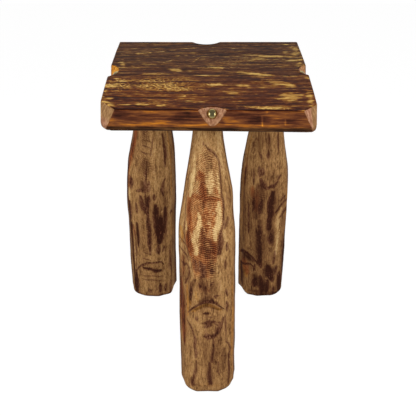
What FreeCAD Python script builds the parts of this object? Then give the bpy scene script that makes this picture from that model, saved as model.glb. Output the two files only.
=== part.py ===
import FreeCAD, Part
import os

import Sketcher

# Rustic hickory table. A thick hewn slab stands on three tapered poles, whose
# round tenons are wedged blind into its underside. A brass dome nail sits in a
# thumb-cut scoop in the middle of each edge of the slab.
# The frame: origin on the floor under the middle of the table, +Z up, the
# single front leg on the -Y side, +X to the right of someone facing it.

# Driving sizes, in millimetres and degrees
SIZES = {
    # Slab
    "table_height": 660,
    "slab_width": 406,
    "slab_depth": 408,
    "slab_thickness": 45,
    "slab_forward": 7,
    "side_bow": 3.2,
    "front_skew": 9,
    "top_arris": 2.5,
    "lower_arris": 8,
    # Lean-cut front corners of the slab
    "left_cut_along_front": 29,
    "left_cut_along_side": 40,
    "left_cut_lean": 21,
    "right_cut_along_front": 27,
    "right_cut_along_side": 33,
    "right_cut_lean": 20,
    # Thumb-cut scoops, one in each edge of the slab
    "scoop_lean": 26.5,
    "front_scoop_width": 54,
    "front_scoop_depth": 16,
    "front_scoop_shift": 7,
    "right_scoop_width": 62,
    "right_scoop_depth": 17,
    "right_scoop_shift": 9,
    "back_scoop_width": 62,
    "back_scoop_depth": 17,
    "back_scoop_shift": 5,
    "left_scoop_width": 72,
    "left_scoop_depth": 19.5,
    "left_scoop_shift": -5,
    # Brass domes and their nails
    "boss_diameter": 20,
    "boss_dome": 7,
    "boss_wall": 0.9,
    "boss_drop": 11.7,
    "boss_seat_depth": 0.5,
    "boss_seat_clearance": 0.3,
    "nail_diameter": 3,
    "nail_length": 22,
    "nail_head_diameter": 9,
    "nail_head_height": 3,
    "nail_clearance": 0.05,
    # Legs
    "front_leg_diameter": 121,
    "front_leg_centre": -1,
    "front_leg_inset": 67,
    "front_leg_splay": -40,
    "front_leg_spread": 0,
    "back_left_leg_diameter": 121,
    "back_left_leg_centre": -130,
    "back_left_leg_inset": 59.5,
    "back_left_leg_splay": 42,
    "back_left_leg_spread": -13,
    "back_right_leg_diameter": 120,
    "back_right_leg_centre": 135,
    "back_right_leg_inset": 59.5,
    "back_right_leg_splay": 42,
    "back_right_leg_spread": 2.5,
    "neck_diameter": 56,
    "foot_chamfer": 13,
    # Round tenons, their mortises and wedges
    "tenon_shoulder": 5,
    "tenon_root": 22,
    "mortise_roof": 10,
    "glue_gap": 0.15,
    "tenon_end_gap": 1.5,
    "wedge_length": 26,
    "wedge_butt": 6,
    "wedge_tip": 1.2,
    "wedge_side_clearance": 4,
    # How far every cutter runs past what it cuts
    "overrun": 5,
}

# Corners of a leg's cross-section: the angle round the pole in degrees, from +X
# towards the back, and the share of the pole's radius at which the corner lies
FRONT_CORNER_SHARES = (
    (10, 1.01), (44, 1.02), (78, 1.00), (112, 1.03), (148, 1.01), (186, 1.01),
    (216, 1.01), (243, 1.04), (294, 1.03), (331, 1.02),
)
BACK_LEFT_CORNER_SHARES = (
    (2, 1.00), (36, 1.03), (70, 1.01), (106, 1.02), (140, 1.02), (176, 1.01),
    (212, 1.02), (247, 1.00), (281, 1.03), (318, 1.02),
)
BACK_RIGHT_CORNER_SHARES = (
    (14, 1.02), (50, 1.01), (84, 1.03), (122, 1.01), (155, 1.02), (190, 1.01),
    (222, 1.03), (259, 1.01), (296, 1.02), (334, 1.02),
)

# The swell of a leg from its shoulder down: the share of the way from shoulder
# to floor, the share of the way from the neck's diameter to the full one, and
# the sideways bow of the pole as a share of its full diameter
FRONT_SWELL_SHARES = (
    (0.00, 0.00, 0.000), (0.05, 0.08, 0.000), (0.11, 0.22, 0.004),
    (0.22, 0.60, 0.010), (0.29, 0.80, 0.008), (0.39, 0.95, -0.009),
    (0.48, 0.99, -0.008), (0.65, 1.00, -0.004), (0.82, 1.01, 0.000),
)
BACK_LEFT_SWELL_SHARES = (
    (0.00, 0.00, 0.000), (0.05, 0.09, 0.000), (0.15, 0.33, 0.010),
    (0.265, 0.60, 0.018), (0.32, 0.78, 0.008), (0.40, 0.96, -0.010),
    (0.48, 1.04, -0.022), (0.62, 1.01, -0.012), (0.78, 0.98, -0.012),
)
BACK_RIGHT_SWELL_SHARES = (
    (0.00, 0.00, 0.000), (0.05, 0.06, 0.000), (0.15, 0.23, 0.000),
    (0.265, 0.48, -0.002), (0.34, 0.70, -0.002), (0.40, 0.86, 0.006),
    (0.47, 0.98, 0.004), (0.62, 1.01, 0.002), (0.80, 1.01, 0.002),
)

# How near two heights are that count as one, as a share of the slab's thickness
LEVEL_SHARE = 0.01

doc = FreeCAD.newDocument("RusticHickoryTable")

sheet = doc.addObject("Spreadsheet::Sheet", "Sizes")
for row, (name, value) in enumerate(SIZES.items(), start=1):
    sheet.set(f"A{row}", name)
    sheet.set(f"B{row}", str(value))
    sheet.setAlias(f"B{row}", name)
doc.recompute()

# Places and sizes that several pieces share
UNDERSIDE = "(Sizes.table_height - Sizes.slab_thickness)"
FRONT_EDGE = "(Sizes.slab_depth / 2 + Sizes.slab_forward)"
BACK_EDGE = "(Sizes.slab_depth / 2 - Sizes.slab_forward)"
SIDE_EDGE = "(Sizes.slab_width / 2 + Sizes.side_bow)"
TENON_RADIUS = "(Sizes.neck_diameter / 2 - Sizes.tenon_shoulder)"
MORTISE_DEPTH = "(Sizes.slab_thickness - Sizes.mortise_roof)"
DOME_RADIUS = "((Sizes.boss_diameter ^ 2 / 4 + Sizes.boss_dome ^ 2) / (2 * Sizes.boss_dome))"
NO_TURN = "rotation(vector(0; 0; 1); 0)"


def value_of(expression):
    """The value that an expression has on the sheet now."""
    return float(sheet.evalExpression(expression))


def at(x="0", y="0", z="0", turn=NO_TURN):
    """The expression of a place: three coordinates and a turn."""
    return f"placement(vector({x}; {y}; {z}); {turn})"


def about(axis, angle):
    """The expression of a turn about X, Y or Z by an angle in degrees."""
    direction = {"X": "vector(1; 0; 0)", "Y": "vector(0; 1; 0)", "Z": "vector(0; 0; 1)"}[axis]
    return f"rotation({direction}; {angle})"


def new_body(label, place):
    """A body whose label names its file, at a place tied to the sheet."""
    body = doc.addObject("PartDesign::Body", label)
    body.Label = label
    body.setExpression("Placement", place)
    return body


def new_feature(body, kind, name, place=None, **expressions):
    """A solid feature of a body, with its place and sizes tied to the sheet."""
    feature = body.newObject(f"PartDesign::{kind}", name)
    if place:
        feature.setExpression("Placement", place)
    for property_name, expression in expressions.items():
        feature.setExpression(property_name, expression)
    return feature


def new_sketch(body, name, role, place):
    """A sketch on one of the body's own origin planes, moved by an expression."""
    sketch = body.newObject("Sketcher::SketchObject", name)
    plane = next(item for item in body.Origin.OriginFeatures if item.Role == role)
    sketch.AttachmentSupport = [(plane, "")]
    sketch.MapMode = "FlatFace"
    sketch.setExpression("AttachmentOffset", place)
    return sketch


def draw_outline(sketch, corners, arcs=None):
    """Draws a closed outline, anticlockwise, through corners given as expressions.

    arcs holds, under the number of the corner where an arc begins, the
    expression of its radius and 1 where it bulges out or -1 where it bulges in.
    """
    arcs = arcs or {}
    count = len(corners)
    points = [FreeCAD.Vector(value_of(x), value_of(y), 0) for x, y in corners]
    first_end = [1] * count
    for number, start in enumerate(points):
        end = points[(number + 1) % count]
        if number not in arcs:
            sketch.addGeometry(Part.LineSegment(start, end))
            continue
        radius_expression, side = arcs[number]
        radius = value_of(radius_expression)
        chord = end - start
        outward = FreeCAD.Vector(chord.y, -chord.x, 0).normalize()
        rise = radius - (radius ** 2 - chord.Length ** 2 / 4) ** 0.5
        crown = (start + end) / 2 + outward * rise * side
        if side > 0:
            sketch.addGeometry(Part.Arc(start, crown, end))
        else:
            sketch.addGeometry(Part.Arc(end, crown, start))
            first_end[number] = 2

    ties = []
    for number, (x, y) in enumerate(corners):
        following = (number + 1) % count
        begin = first_end[number]
        point = points[number]
        meet = Sketcher.Constraint("Coincident", number, 3 - begin, following, first_end[following])
        ties.append((meet, None))
        ties.append((Sketcher.Constraint("DistanceX", -1, 1, number, begin, point.x), x))
        ties.append((Sketcher.Constraint("DistanceY", -1, 1, number, begin, point.y), y))
    for number, (radius_expression, side) in arcs.items():
        tie = Sketcher.Constraint("Radius", number, value_of(radius_expression))
        ties.append((tie, radius_expression))
    sketch.addConstraint([tie for tie, expression in ties])
    for number, (tie, expression) in enumerate(ties):
        if expression:
            sketch.setExpression(f"Constraints[{number}]", expression)


# Slab
# A plank with bowed sides and an askew front edge. Its origin lies in the plane
# of its underside, over the middle of the table.
LEFT = "-Sizes.slab_width / 2"
RIGHT = "Sizes.slab_width / 2"
FRONT_AT_LEFT = f"(-{FRONT_EDGE} + Sizes.front_skew / 2)"
FRONT_AT_RIGHT = f"(-{FRONT_EDGE} - Sizes.front_skew / 2)"
LEFT_LENGTH = "(Sizes.slab_depth - Sizes.front_skew / 2)"
RIGHT_LENGTH = "(Sizes.slab_depth + Sizes.front_skew / 2)"


def bow_radius(length):
    """The radius of an arc that rises by the named bow over a side of this length."""
    return f"({length} ^ 2 / 4 + Sizes.side_bow ^ 2) / (2 * Sizes.side_bow)"


def edges_level_with(feature, height):
    """The names of a feature's edges that lie at one height."""
    level = LEVEL_SHARE * value_of("Sizes.slab_thickness")
    names = []
    for number, edge in enumerate(feature.Shape.Edges, start=1):
        box = edge.BoundBox
        if abs(box.ZMin - height) < level and abs(box.ZMax - height) < level:
            names.append(f"Edge{number}")
    return names


slab = new_body("top_slab", at(z=UNDERSIDE))
plank_outline = new_sketch(slab, "PlankOutline", "XY_Plane", at())
draw_outline(
    plank_outline,
    [(LEFT, FRONT_AT_LEFT), (RIGHT, FRONT_AT_RIGHT), (RIGHT, BACK_EDGE), (LEFT, BACK_EDGE)],
    {1: (bow_radius(RIGHT_LENGTH), 1), 3: (bow_radius(LEFT_LENGTH), 1)},
)
plank = new_feature(slab, "Pad", "Plank", Length="Sizes.slab_thickness")
plank.Profile = plank_outline
doc.recompute()

worn_arris = new_feature(slab, "Fillet", "WornArris", Radius="Sizes.top_arris")
worn_arris.Base = (plank, edges_level_with(plank, value_of("Sizes.slab_thickness")))
doc.recompute()

under_bevel = new_feature(slab, "Chamfer", "UnderBevel", Size="Sizes.lower_arris")
under_bevel.Base = (worn_arris, edges_level_with(worn_arris, 0))
doc.recompute()

# Lean-cut front corners. Each cut is a block whose near face leans out on the
# way down, and its length runs from one end of the cut to the other.
for side, corner_x, turn in (
    ("left", f"({LEFT} + Sizes.left_cut_along_front)",
     "180 deg - atan(Sizes.left_cut_along_side / Sizes.left_cut_along_front)"),
    ("right", RIGHT,
     "180 deg + atan(Sizes.right_cut_along_side / Sizes.right_cut_along_front)"),
):
    cut_length = f"sqrt(Sizes.{side}_cut_along_front ^ 2 + Sizes.{side}_cut_along_side ^ 2)"
    cut_height = f"Sizes.slab_thickness / cos(Sizes.{side}_cut_lean)"
    corner_y = FRONT_AT_LEFT
    if side == "right":
        corner_y = f"({FRONT_AT_RIGHT} + Sizes.right_cut_along_side)"
    cut_turn = about("Z", turn) + " * " + about("X", f"Sizes.{side}_cut_lean")
    cut_start = at("-Sizes.overrun", "0", f"-{cut_height} - Sizes.overrun")
    new_feature(
        slab, "SubtractiveBox", f"CornerCut_{side}",
        at(corner_x, corner_y, "Sizes.slab_thickness", cut_turn) + " * " + cut_start,
        Length=f"{cut_length} + 2 * Sizes.overrun",
        Width=cut_length,
        Height=f"{cut_height} + 2 * Sizes.overrun",
    )

# The four edges of the slab: the turn that brings the front edge to each, and
# how far each lies from the middle
EDGES = {
    "front": (0, FRONT_EDGE),
    "right": (90, SIDE_EDGE),
    "back": (180, BACK_EDGE),
    "left": (270, SIDE_EDGE),
}
SCOOP_SLOPE = "tan(Sizes.scoop_lean)"
BOSS_TURN = about("X", "90 - Sizes.scoop_lean")


def boss_place(edge, height):
    """The place of a dome: let a little into the middle of a scoop's slope, facing out and up."""
    turn, distance = EDGES[edge]
    inward = f"(Sizes.{edge}_scoop_depth - Sizes.boss_drop * {SCOOP_SLOPE})"
    seat = at(f"Sizes.{edge}_scoop_shift", f"-{distance} + {inward}",
              f"{height} - Sizes.boss_drop", BOSS_TURN)
    return at(turn=about("Z", turn)) + " * " + seat + " * " + at(z="-Sizes.boss_seat_depth")


for edge, (turn, distance) in EDGES.items():
    # A scoop is part of an upright cone that stands outside the edge and fades
    # out below: its width and depth are those of its mouth on the slab's top.
    width = f"Sizes.{edge}_scoop_width"
    depth = f"Sizes.{edge}_scoop_depth"
    radius = f"(({width} ^ 2 / 4 + {depth} ^ 2) / (2 * {depth}))"
    fade = f"({depth} / {SCOOP_SLOPE})"
    cone_foot = at(f"Sizes.{edge}_scoop_shift", f"-{distance} - {radius} + {depth}",
                   f"Sizes.slab_thickness - {fade}")
    new_feature(
        slab, "SubtractiveCone", f"Scoop_{edge}",
        at(turn=about("Z", turn)) + " * " + cone_foot,
        Radius1=f"{radius} - {depth}",
        Radius2=f"{radius} + Sizes.overrun * {SCOOP_SLOPE}",
        Height=f"{fade} + Sizes.overrun",
    )
    new_feature(
        slab, "SubtractiveCylinder", f"BossSeat_{edge}",
        boss_place(edge, "Sizes.slab_thickness"),
        Radius="Sizes.boss_diameter / 2 + Sizes.boss_seat_clearance",
        Height=depth,
    )
    new_feature(
        slab, "SubtractiveCylinder", f"NailHole_{edge}",
        boss_place(edge, "Sizes.slab_thickness") + " * "
        + at(z="-Sizes.nail_length - Sizes.nail_clearance"),
        Radius="Sizes.nail_diameter / 2 + Sizes.nail_clearance",
        Height="Sizes.nail_length + Sizes.overrun",
    )

# Legs
# Each stands from its foot on the floor to its shoulder on the underside. The
# way from foot to shoulder gives the lean that its tenon and mortise share.
LEGS = {
    "leg_front": ("front", -1, FRONT_EDGE, FRONT_CORNER_SHARES, FRONT_SWELL_SHARES),
    "leg_back_left": ("back_left", 1, BACK_EDGE, BACK_LEFT_CORNER_SHARES, BACK_LEFT_SWELL_SHARES),
    "leg_back_right": ("back_right", 1, BACK_EDGE, BACK_RIGHT_CORNER_SHARES,
                       BACK_RIGHT_SWELL_SHARES),
}


def lean_of(leg):
    """The turn that leans the upright to the line from a leg's foot to its shoulder."""
    run = f"sqrt(Sizes.{leg}_leg_spread ^ 2 + Sizes.{leg}_leg_splay ^ 2)"
    axis = f"vector(Sizes.{leg}_leg_splay; -Sizes.{leg}_leg_spread; 0)"
    return f"rotation({axis}; atan({run} / {UNDERSIDE}))"


def add_leg(label, leg, side, edge, corner_shares, swell_shares):
    """One leg, with its tenon and kerf, the mortise over it and the wedge inside."""
    shoulder_x = f"Sizes.{leg}_leg_centre"
    shoulder_y = f"{side} * ({edge} - Sizes.{leg}_leg_inset)"
    foot_x = f"({shoulder_x} + Sizes.{leg}_leg_spread)"
    foot_y = f"({shoulder_y} + Sizes.{leg}_leg_splay)"
    full = f"Sizes.{leg}_leg_diameter"
    lean = lean_of(leg)
    body = new_body(label, at(foot_x, foot_y))

    def section(name, down, radius, bow):
        """A many-sided section of the pole at a share of the way down."""
        up = f"(1 - {down})"
        centre_x = f"(-Sizes.{leg}_leg_spread * {up} + {bow} * {full})"
        centre_y = f"(-Sizes.{leg}_leg_splay * {up})"
        sketch = new_sketch(body, name, "XY_Plane",
                            at(centre_x, centre_y, f"{UNDERSIDE} * {up}"))
        corners = [(f"{radius} * {share} * cos({angle})", f"{radius} * {share} * sin({angle})")
                   for angle, share in corner_shares]
        draw_outline(sketch, corners)
        return sketch

    sections = []
    for number, (down, swell, bow) in enumerate(swell_shares):
        radius = f"(Sizes.neck_diameter + {swell} * ({full} - Sizes.neck_diameter)) / 2"
        sections.append(section(f"Section_{leg}_{number}", down, radius, bow))
    above_foot = f"(1 - Sizes.foot_chamfer / {UNDERSIDE})"
    sections.append(section(f"AboveFoot_{leg}", above_foot, f"{full} / 2", 0))
    sections.append(section(f"Foot_{leg}", 1, f"({full} / 2 - Sizes.foot_chamfer)", 0))

    pole = new_feature(body, "AdditiveLoft", f"Pole_{leg}")
    pole.Profile = sections[0]
    pole.Sections = sections[1:]
    pole.Ruled = True

    shoulder = at(f"-Sizes.{leg}_leg_spread", f"-Sizes.{leg}_leg_splay", UNDERSIDE, lean)
    new_feature(
        body, "AdditiveCylinder", f"Tenon_{leg}",
        shoulder + " * " + at(z="-Sizes.tenon_root"),
        Radius=TENON_RADIUS,
        Height=f"Sizes.tenon_root + {MORTISE_DEPTH} - Sizes.tenon_end_gap",
    )
    wedge_tip_place = at(z=f"{MORTISE_DEPTH} - Sizes.wedge_length", turn=about("X", 90))
    add_wedge_shape(body, "SubtractiveWedge", f"Kerf_{leg}",
                    shoulder + " * " + wedge_tip_place,
                    f"({TENON_RADIUS} + Sizes.overrun)")

    new_feature(
        slab, "SubtractiveCylinder", f"Mortise_{leg}",
        at(shoulder_x, shoulder_y, "0", lean) + " * " + at(z="-Sizes.overrun"),
        Radius=f"{TENON_RADIUS} + Sizes.glue_gap",
        Height=f"Sizes.overrun + {MORTISE_DEPTH}",
    )

    wedge = new_body(label.replace("leg", "wedge"),
                     at(shoulder_x, shoulder_y, UNDERSIDE, lean) + " * " + wedge_tip_place)
    add_wedge_shape(wedge, "AdditiveWedge", f"Wedge_{leg}", at(),
                    f"({TENON_RADIUS} - Sizes.wedge_side_clearance)")
    return [body, wedge]


def add_wedge_shape(body, kind, name, place, half_width):
    """A wedge from its thin tip, at the feature's origin, to its butt."""
    return new_feature(
        body, kind, name, place,
        Xmin="-Sizes.wedge_tip / 2", Xmax="Sizes.wedge_tip / 2",
        X2min="-Sizes.wedge_butt / 2", X2max="Sizes.wedge_butt / 2",
        Ymin="0", Ymax="Sizes.wedge_length",
        Zmin=f"-{half_width}", Zmax=half_width,
        Z2min=f"-{half_width}", Z2max=half_width,
    )


# Brass domes and steel nails
# Both are turned shapes about the line that stands square on a dome's seat.
CROWN = "(Sizes.boss_dome - Sizes.boss_wall)"
INSIDE_RADIUS = f"({DOME_RADIUS} - Sizes.boss_wall)"
DOME_CENTRE = f"(Sizes.boss_dome - {DOME_RADIUS})"


def inside_radius_at(height):
    """How wide the hollow of a dome is at a height above its seat."""
    return f"sqrt({INSIDE_RADIUS} ^ 2 - ({height} - {DOME_CENTRE}) ^ 2)"


def turn_about_upright(body, name, corners, arcs):
    """A solid turned about the body's Z axis from an outline in its XZ plane."""
    sketch = new_sketch(body, f"{name}Outline", "XZ_Plane", at())
    draw_outline(sketch, corners, arcs)
    turned = new_feature(body, "Revolution", name)
    turned.Profile = sketch
    turned.ReferenceAxis = (sketch, ["V_Axis"])
    return turned


def add_boss(edge):
    """The hollow dome and the nail of one edge."""
    seat = boss_place(edge, "Sizes.table_height")
    cap = new_body(f"boss_cap_{edge}", seat)
    turn_about_upright(
        cap, f"Dome_{edge}",
        [("Sizes.boss_diameter / 2", "0"), ("0", "Sizes.boss_dome"), ("0", CROWN),
         (inside_radius_at("0"), "0")],
        {0: (DOME_RADIUS, 1), 2: (INSIDE_RADIUS, -1)},
    )
    nail = new_body(f"boss_nail_{edge}", seat)
    shank = "Sizes.nail_diameter / 2"
    head = "Sizes.nail_head_diameter / 2"
    head_rim = f"({DOME_CENTRE} + sqrt({INSIDE_RADIUS} ^ 2 - ({head}) ^ 2))"
    head_base = f"({CROWN} - Sizes.nail_head_height)"
    turn_about_upright(
        nail, f"Nail_{edge}",
        [("0", "-Sizes.nail_length"), (shank, "-Sizes.nail_length"), (shank, head_base),
         (head, head_base), (head, head_rim), ("0", CROWN)],
        {4: (INSIDE_RADIUS, 1)},
    )
    return [cap, nail]


pieces = [slab]
for label, (leg, side, edge, corner_shares, swell_shares) in LEGS.items():
    pieces += add_leg(label, leg, side, edge, corner_shares, swell_shares)
for edge in EDGES:
    pieces += add_boss(edge)
doc.recompute()

# Nothing is written unless every object is sound
for item in doc.Objects:
    if "Invalid" in item.State or "Error" in item.State:
        raise RuntimeError(f"{item.Name} failed: {item.State}")
for piece in pieces:
    if piece.Shape.isNull() or not piece.Shape.isValid():
        raise RuntimeError(f"{piece.Label} has no sound shape")
    if len(piece.Shape.Solids) != 1:
        raise RuntimeError(f"{piece.Label} has {len(piece.Shape.Solids)} solids")

os.makedirs("parts", exist_ok=True)
for piece in pieces:
    piece.Shape.exportStep(f"parts/{piece.Label}.step")
    box = piece.Shape.BoundBox
    print(f"{piece.Label}: {piece.Shape.Volume:.0f} mm3, "
          f"x {box.XMin:.1f} to {box.XMax:.1f}, y {box.YMin:.1f} to {box.YMax:.1f}, "
          f"z {box.ZMin:.1f} to {box.ZMax:.1f}")
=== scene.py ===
import math

import bpy
import numpy as np
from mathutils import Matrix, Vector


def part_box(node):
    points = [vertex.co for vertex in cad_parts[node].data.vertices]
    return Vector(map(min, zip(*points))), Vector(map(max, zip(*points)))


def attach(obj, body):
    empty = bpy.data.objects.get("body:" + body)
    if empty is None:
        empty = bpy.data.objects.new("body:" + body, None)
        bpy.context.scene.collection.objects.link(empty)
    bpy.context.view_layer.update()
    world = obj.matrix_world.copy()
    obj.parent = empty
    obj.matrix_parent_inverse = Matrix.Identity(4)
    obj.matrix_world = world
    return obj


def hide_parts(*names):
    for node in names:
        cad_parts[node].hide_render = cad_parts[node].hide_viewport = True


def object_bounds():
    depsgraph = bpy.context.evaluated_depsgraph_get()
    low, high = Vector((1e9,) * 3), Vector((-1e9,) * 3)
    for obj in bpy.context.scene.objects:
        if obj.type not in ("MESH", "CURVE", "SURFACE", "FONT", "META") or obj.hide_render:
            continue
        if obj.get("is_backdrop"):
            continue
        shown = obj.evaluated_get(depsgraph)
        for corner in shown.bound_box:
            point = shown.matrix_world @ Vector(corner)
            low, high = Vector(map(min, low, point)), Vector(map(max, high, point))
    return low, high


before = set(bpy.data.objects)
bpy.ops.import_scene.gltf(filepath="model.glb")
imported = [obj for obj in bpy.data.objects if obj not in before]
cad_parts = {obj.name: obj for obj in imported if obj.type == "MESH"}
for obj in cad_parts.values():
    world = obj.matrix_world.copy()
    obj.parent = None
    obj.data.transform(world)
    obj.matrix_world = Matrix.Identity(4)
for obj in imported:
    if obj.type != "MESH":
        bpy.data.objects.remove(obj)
cad_low, cad_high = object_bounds()


# Slab
# One plank of hickory, sawn nearly square and finished by hand: a dark stain
# rubbed back to gold where it wears, two lean-cut front corners and a thumb-cut
# scoop in the middle of each edge.
MM = 0.001  # shapes are worked out in millimetres and put in the frame's metres
slab_low, slab_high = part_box("top_slab")
TABLE_TOP = slab_high.z / MM
SLAB_DEPTH = (slab_high.z - slab_low.z) / MM
FRONT_Y = -211.0
BACK_Y = slab_high.y / MM
FRONT_SKEW = 9 / 406  # the front edge runs this much out of square
SIDE_X = 203.0
SIDE_BOW = slab_high.x / MM - SIDE_X
MIDDLE_Y = -7.0
HALF_DEPTH = 204.0
TOP_ARRIS = (2.4, 4.2)  # the least and the greatest rounding of the worn top arris
WORN_PLACES = 24
TOP_RUB = 0.9
LOWER_RISE = 10.5  # how high the bevel underneath starts, and how far in it ends
LOWER_INSET = 6.5
CORNER_INSETS = (11.5, 8)  # the same at the left and the right corner cut
EDGE_ROUNDING = 0.9
GRID = 208  # points across the top; then rows down each part of the side and inwards below
SIDE_ROWS = (("arris", 4), ("face", 19), ("lower", 5))
BASE_ROWS = 11

# Lean-cut corners: a point of the cut's top edge, its outward direction, its lean
CORNER_CUTS = (((-174, -206.5), (-40, -29), 21), ((176, -215.5), (33, -27), 20))

# Scoops: the place of the upright cone that cuts each, and its radius at the top
SCOOP_LEAN = 26.5
SCOOPS = {
    "front": ((7, -225.8), 30.8),
    "right": ((225.9, 9), 36.7),
    "back": ((-5, 216.8), 36.8),
    "left": ((-229.7, 5), 43.0),
}
# The boundaries of the slab, in the order in which slab_reach gives their shares
FRONT, BACK, SIDE, CUT_LEFT, CUT_RIGHT, SCOOP_FRONT, SCOOP_RIGHT, SCOOP_BACK, SCOOP_LEFT = range(9)


def ease(value, low, high):
    """0 at low, 1 at high, which may lie on either side, and a smooth S between."""
    share = np.clip((value - low) / (high - low), 0, 1)
    return share * share * (3 - 2 * share)


def hills(across, along, seed, octaves=3, wrap=None):
    """Smooth random heights from 0 to 1 over a plane. Random numbers sit at the
    whole-number points and the height eases between them; each further layer is
    twice as fine and half as strong. wrap is the number of cells after which the
    pattern meets itself across."""
    total = np.zeros(np.broadcast(across, along).shape)
    rows = 256
    for layer in range(octaves):
        fine = 2 ** layer
        cells = wrap * fine if wrap else rows
        lattice = np.random.default_rng(seed + layer).random((rows, cells))
        column, row = np.floor(across * fine).astype(int), np.floor(along * fine).astype(int)
        right, up = ease(across * fine - column, 0, 1), ease(along * fine - row, 0, 1)
        near, far = column % cells, (column + 1) % cells
        here, above = row % rows, (row + 1) % rows
        lower = lattice[here, near] * (1 - right) + lattice[here, far] * right
        upper = lattice[above, near] * (1 - right) + lattice[above, far] * right
        total += (lower * (1 - up) + upper * up) / fine
    return total / (2 - 0.5 ** (octaves - 1))


def soft_least(distances, width):
    """The least of several distances, rounded over width where two are equal, and
    each one's share in it: minus width times the log of the summed exponentials."""
    least = distances.min(axis=0)
    shares = np.exp((least - distances) / width)
    return least - width * np.log(shares.sum(axis=0)), shares / shares.sum(axis=0)


def slab_reach(east, north, drop):
    """How far the slab reaches from its middle along a direction, at a depth below
    the top. It is the soft least of the distances to the two long edges, the bowed
    sides, the lean-cut corners and the scoops' cones. Also each boundary's share."""
    far = 1e4
    front = (FRONT_Y - MIDDLE_Y) / np.minimum(north + FRONT_SKEW * east, -1e-3)
    back = (BACK_Y - MIDDLE_Y) / np.maximum(north, 1e-3)
    side = SIDE_X / np.maximum(np.abs(east), 1e-3)
    for _ in range(3):
        bow = SIDE_BOW * (1 - np.clip(side * north / HALF_DEPTH, -1, 1) ** 2)
        side = (SIDE_X + bow) / np.maximum(np.abs(east), 1e-3)
    found = [np.where(front > 0, front, far) + 0 * drop, back + 0 * drop, side + 0 * drop]
    for (cut_x, cut_y), (out_x, out_y), lean in CORNER_CUTS:
        out = np.array([out_x, out_y]) / math.hypot(out_x, out_y)
        to_plane = out @ (cut_x, cut_y - MIDDLE_Y) + drop * math.tan(math.radians(lean))
        found.append(to_plane / np.maximum(out[0] * east + out[1] * north, 1e-3))
    for (cone_x, cone_y), top_radius in SCOOPS.values():
        radius = np.maximum(top_radius - drop * math.tan(math.radians(SCOOP_LEAN)), 0)
        along = cone_x * east + (cone_y - MIDDLE_Y) * north
        half_chord = radius ** 2 - (cone_x ** 2 + (cone_y - MIDDLE_Y) ** 2 - along ** 2)
        hit = (half_chord > 0) & (along > 0)
        found.append(np.where(hit, along - np.sqrt(np.maximum(half_chord, 0)), far))
    return soft_least(np.array([np.minimum(part, far) for part in found]), EDGE_ROUNDING)


def walls(rings):
    """Four-cornered faces between each closed ring of points and the next one down,
    as seen from outside. Each row holds the numbers of one ring's points."""
    upper, lower = rings[:-1], rings[1:]
    corners = (upper, lower, np.roll(lower, -1, axis=1), np.roll(upper, -1, axis=1))
    return np.stack(corners, axis=-1).reshape(-1, 4).tolist()


def fan(ring, pole, below):
    """Three-cornered faces from each stretch of a closed ring to one point over it,
    or below it, as seen from outside."""
    after, point = np.roll(ring, -1), np.full_like(ring, pole)
    return np.stack((ring, point, after) if below else (point, ring, after), axis=-1).tolist()


def put_mesh(name, points, faces, fields):
    """A smooth-shaded mesh from points in millimetres, with each field kept under
    its own name as one number per point. It rides on the table's only body."""
    mesh = bpy.data.meshes.new(name)
    mesh.from_pydata((points * MM).tolist(), [], faces)
    mesh.shade_smooth()
    for field, values in fields.items():
        layer = mesh.attributes.new(field, "FLOAT", "POINT")
        layer.data.foreach_set("value", values.astype(np.float32))
    piece = bpy.data.objects.new(name, mesh)
    bpy.context.scene.collection.objects.link(piece)
    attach(piece, "root")
    return piece


steps = np.linspace(-1, 1, GRID)
across, along = np.meshgrid(steps, steps)
out_x, out_y = across * SIDE_X, along * HALF_DEPTH
length = np.maximum(np.hypot(out_x, out_y), 1e-6)
east, north = out_x / length, out_y / length
ring_share = np.maximum(np.abs(across), np.abs(along))
numbers = np.arange(GRID * GRID).reshape(GRID, GRID)
rim = np.concatenate([numbers[0, :-1], numbers[:-1, -1], numbers[-1, :0:-1], numbers[:0:-1, 0]])
rim_east, rim_north = east.ravel()[rim], north.ravel()[rim]

# The arris is worn more in some places than in others along the edge
turn = np.arange(len(rim)) / len(rim)
wear_here = hills(turn * WORN_PLACES, 0 * turn, seed=11, wrap=WORN_PLACES)
arris = TOP_ARRIS[0] + (TOP_ARRIS[1] - TOP_ARRIS[0]) * wear_here
rim_turn = np.arctan2(rim_north, rim_east)
by_turn = np.argsort(rim_turn)
arris_there = np.interp(np.arctan2(north, east), rim_turn[by_turn], arris[by_turn], period=2 * math.pi)
top_reach, top_shares = slab_reach(east, north, np.zeros_like(east))
top_reach = ring_share * (top_reach - arris_there)
top_x, top_y = east * top_reach, MIDDLE_Y + north * top_reach
# Years of hands and cloths have left long low dips in the top
rub = hills(top_x / 90 + 40, top_y / 26 + 40, seed=21)
rub += 0.5 * hills(top_x / 30 + 9, top_y / 7 + 70, seed=22)
top_z = TABLE_TOP - TOP_RUB * rub * ease(1 - ring_share, 0, 0.03)

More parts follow.
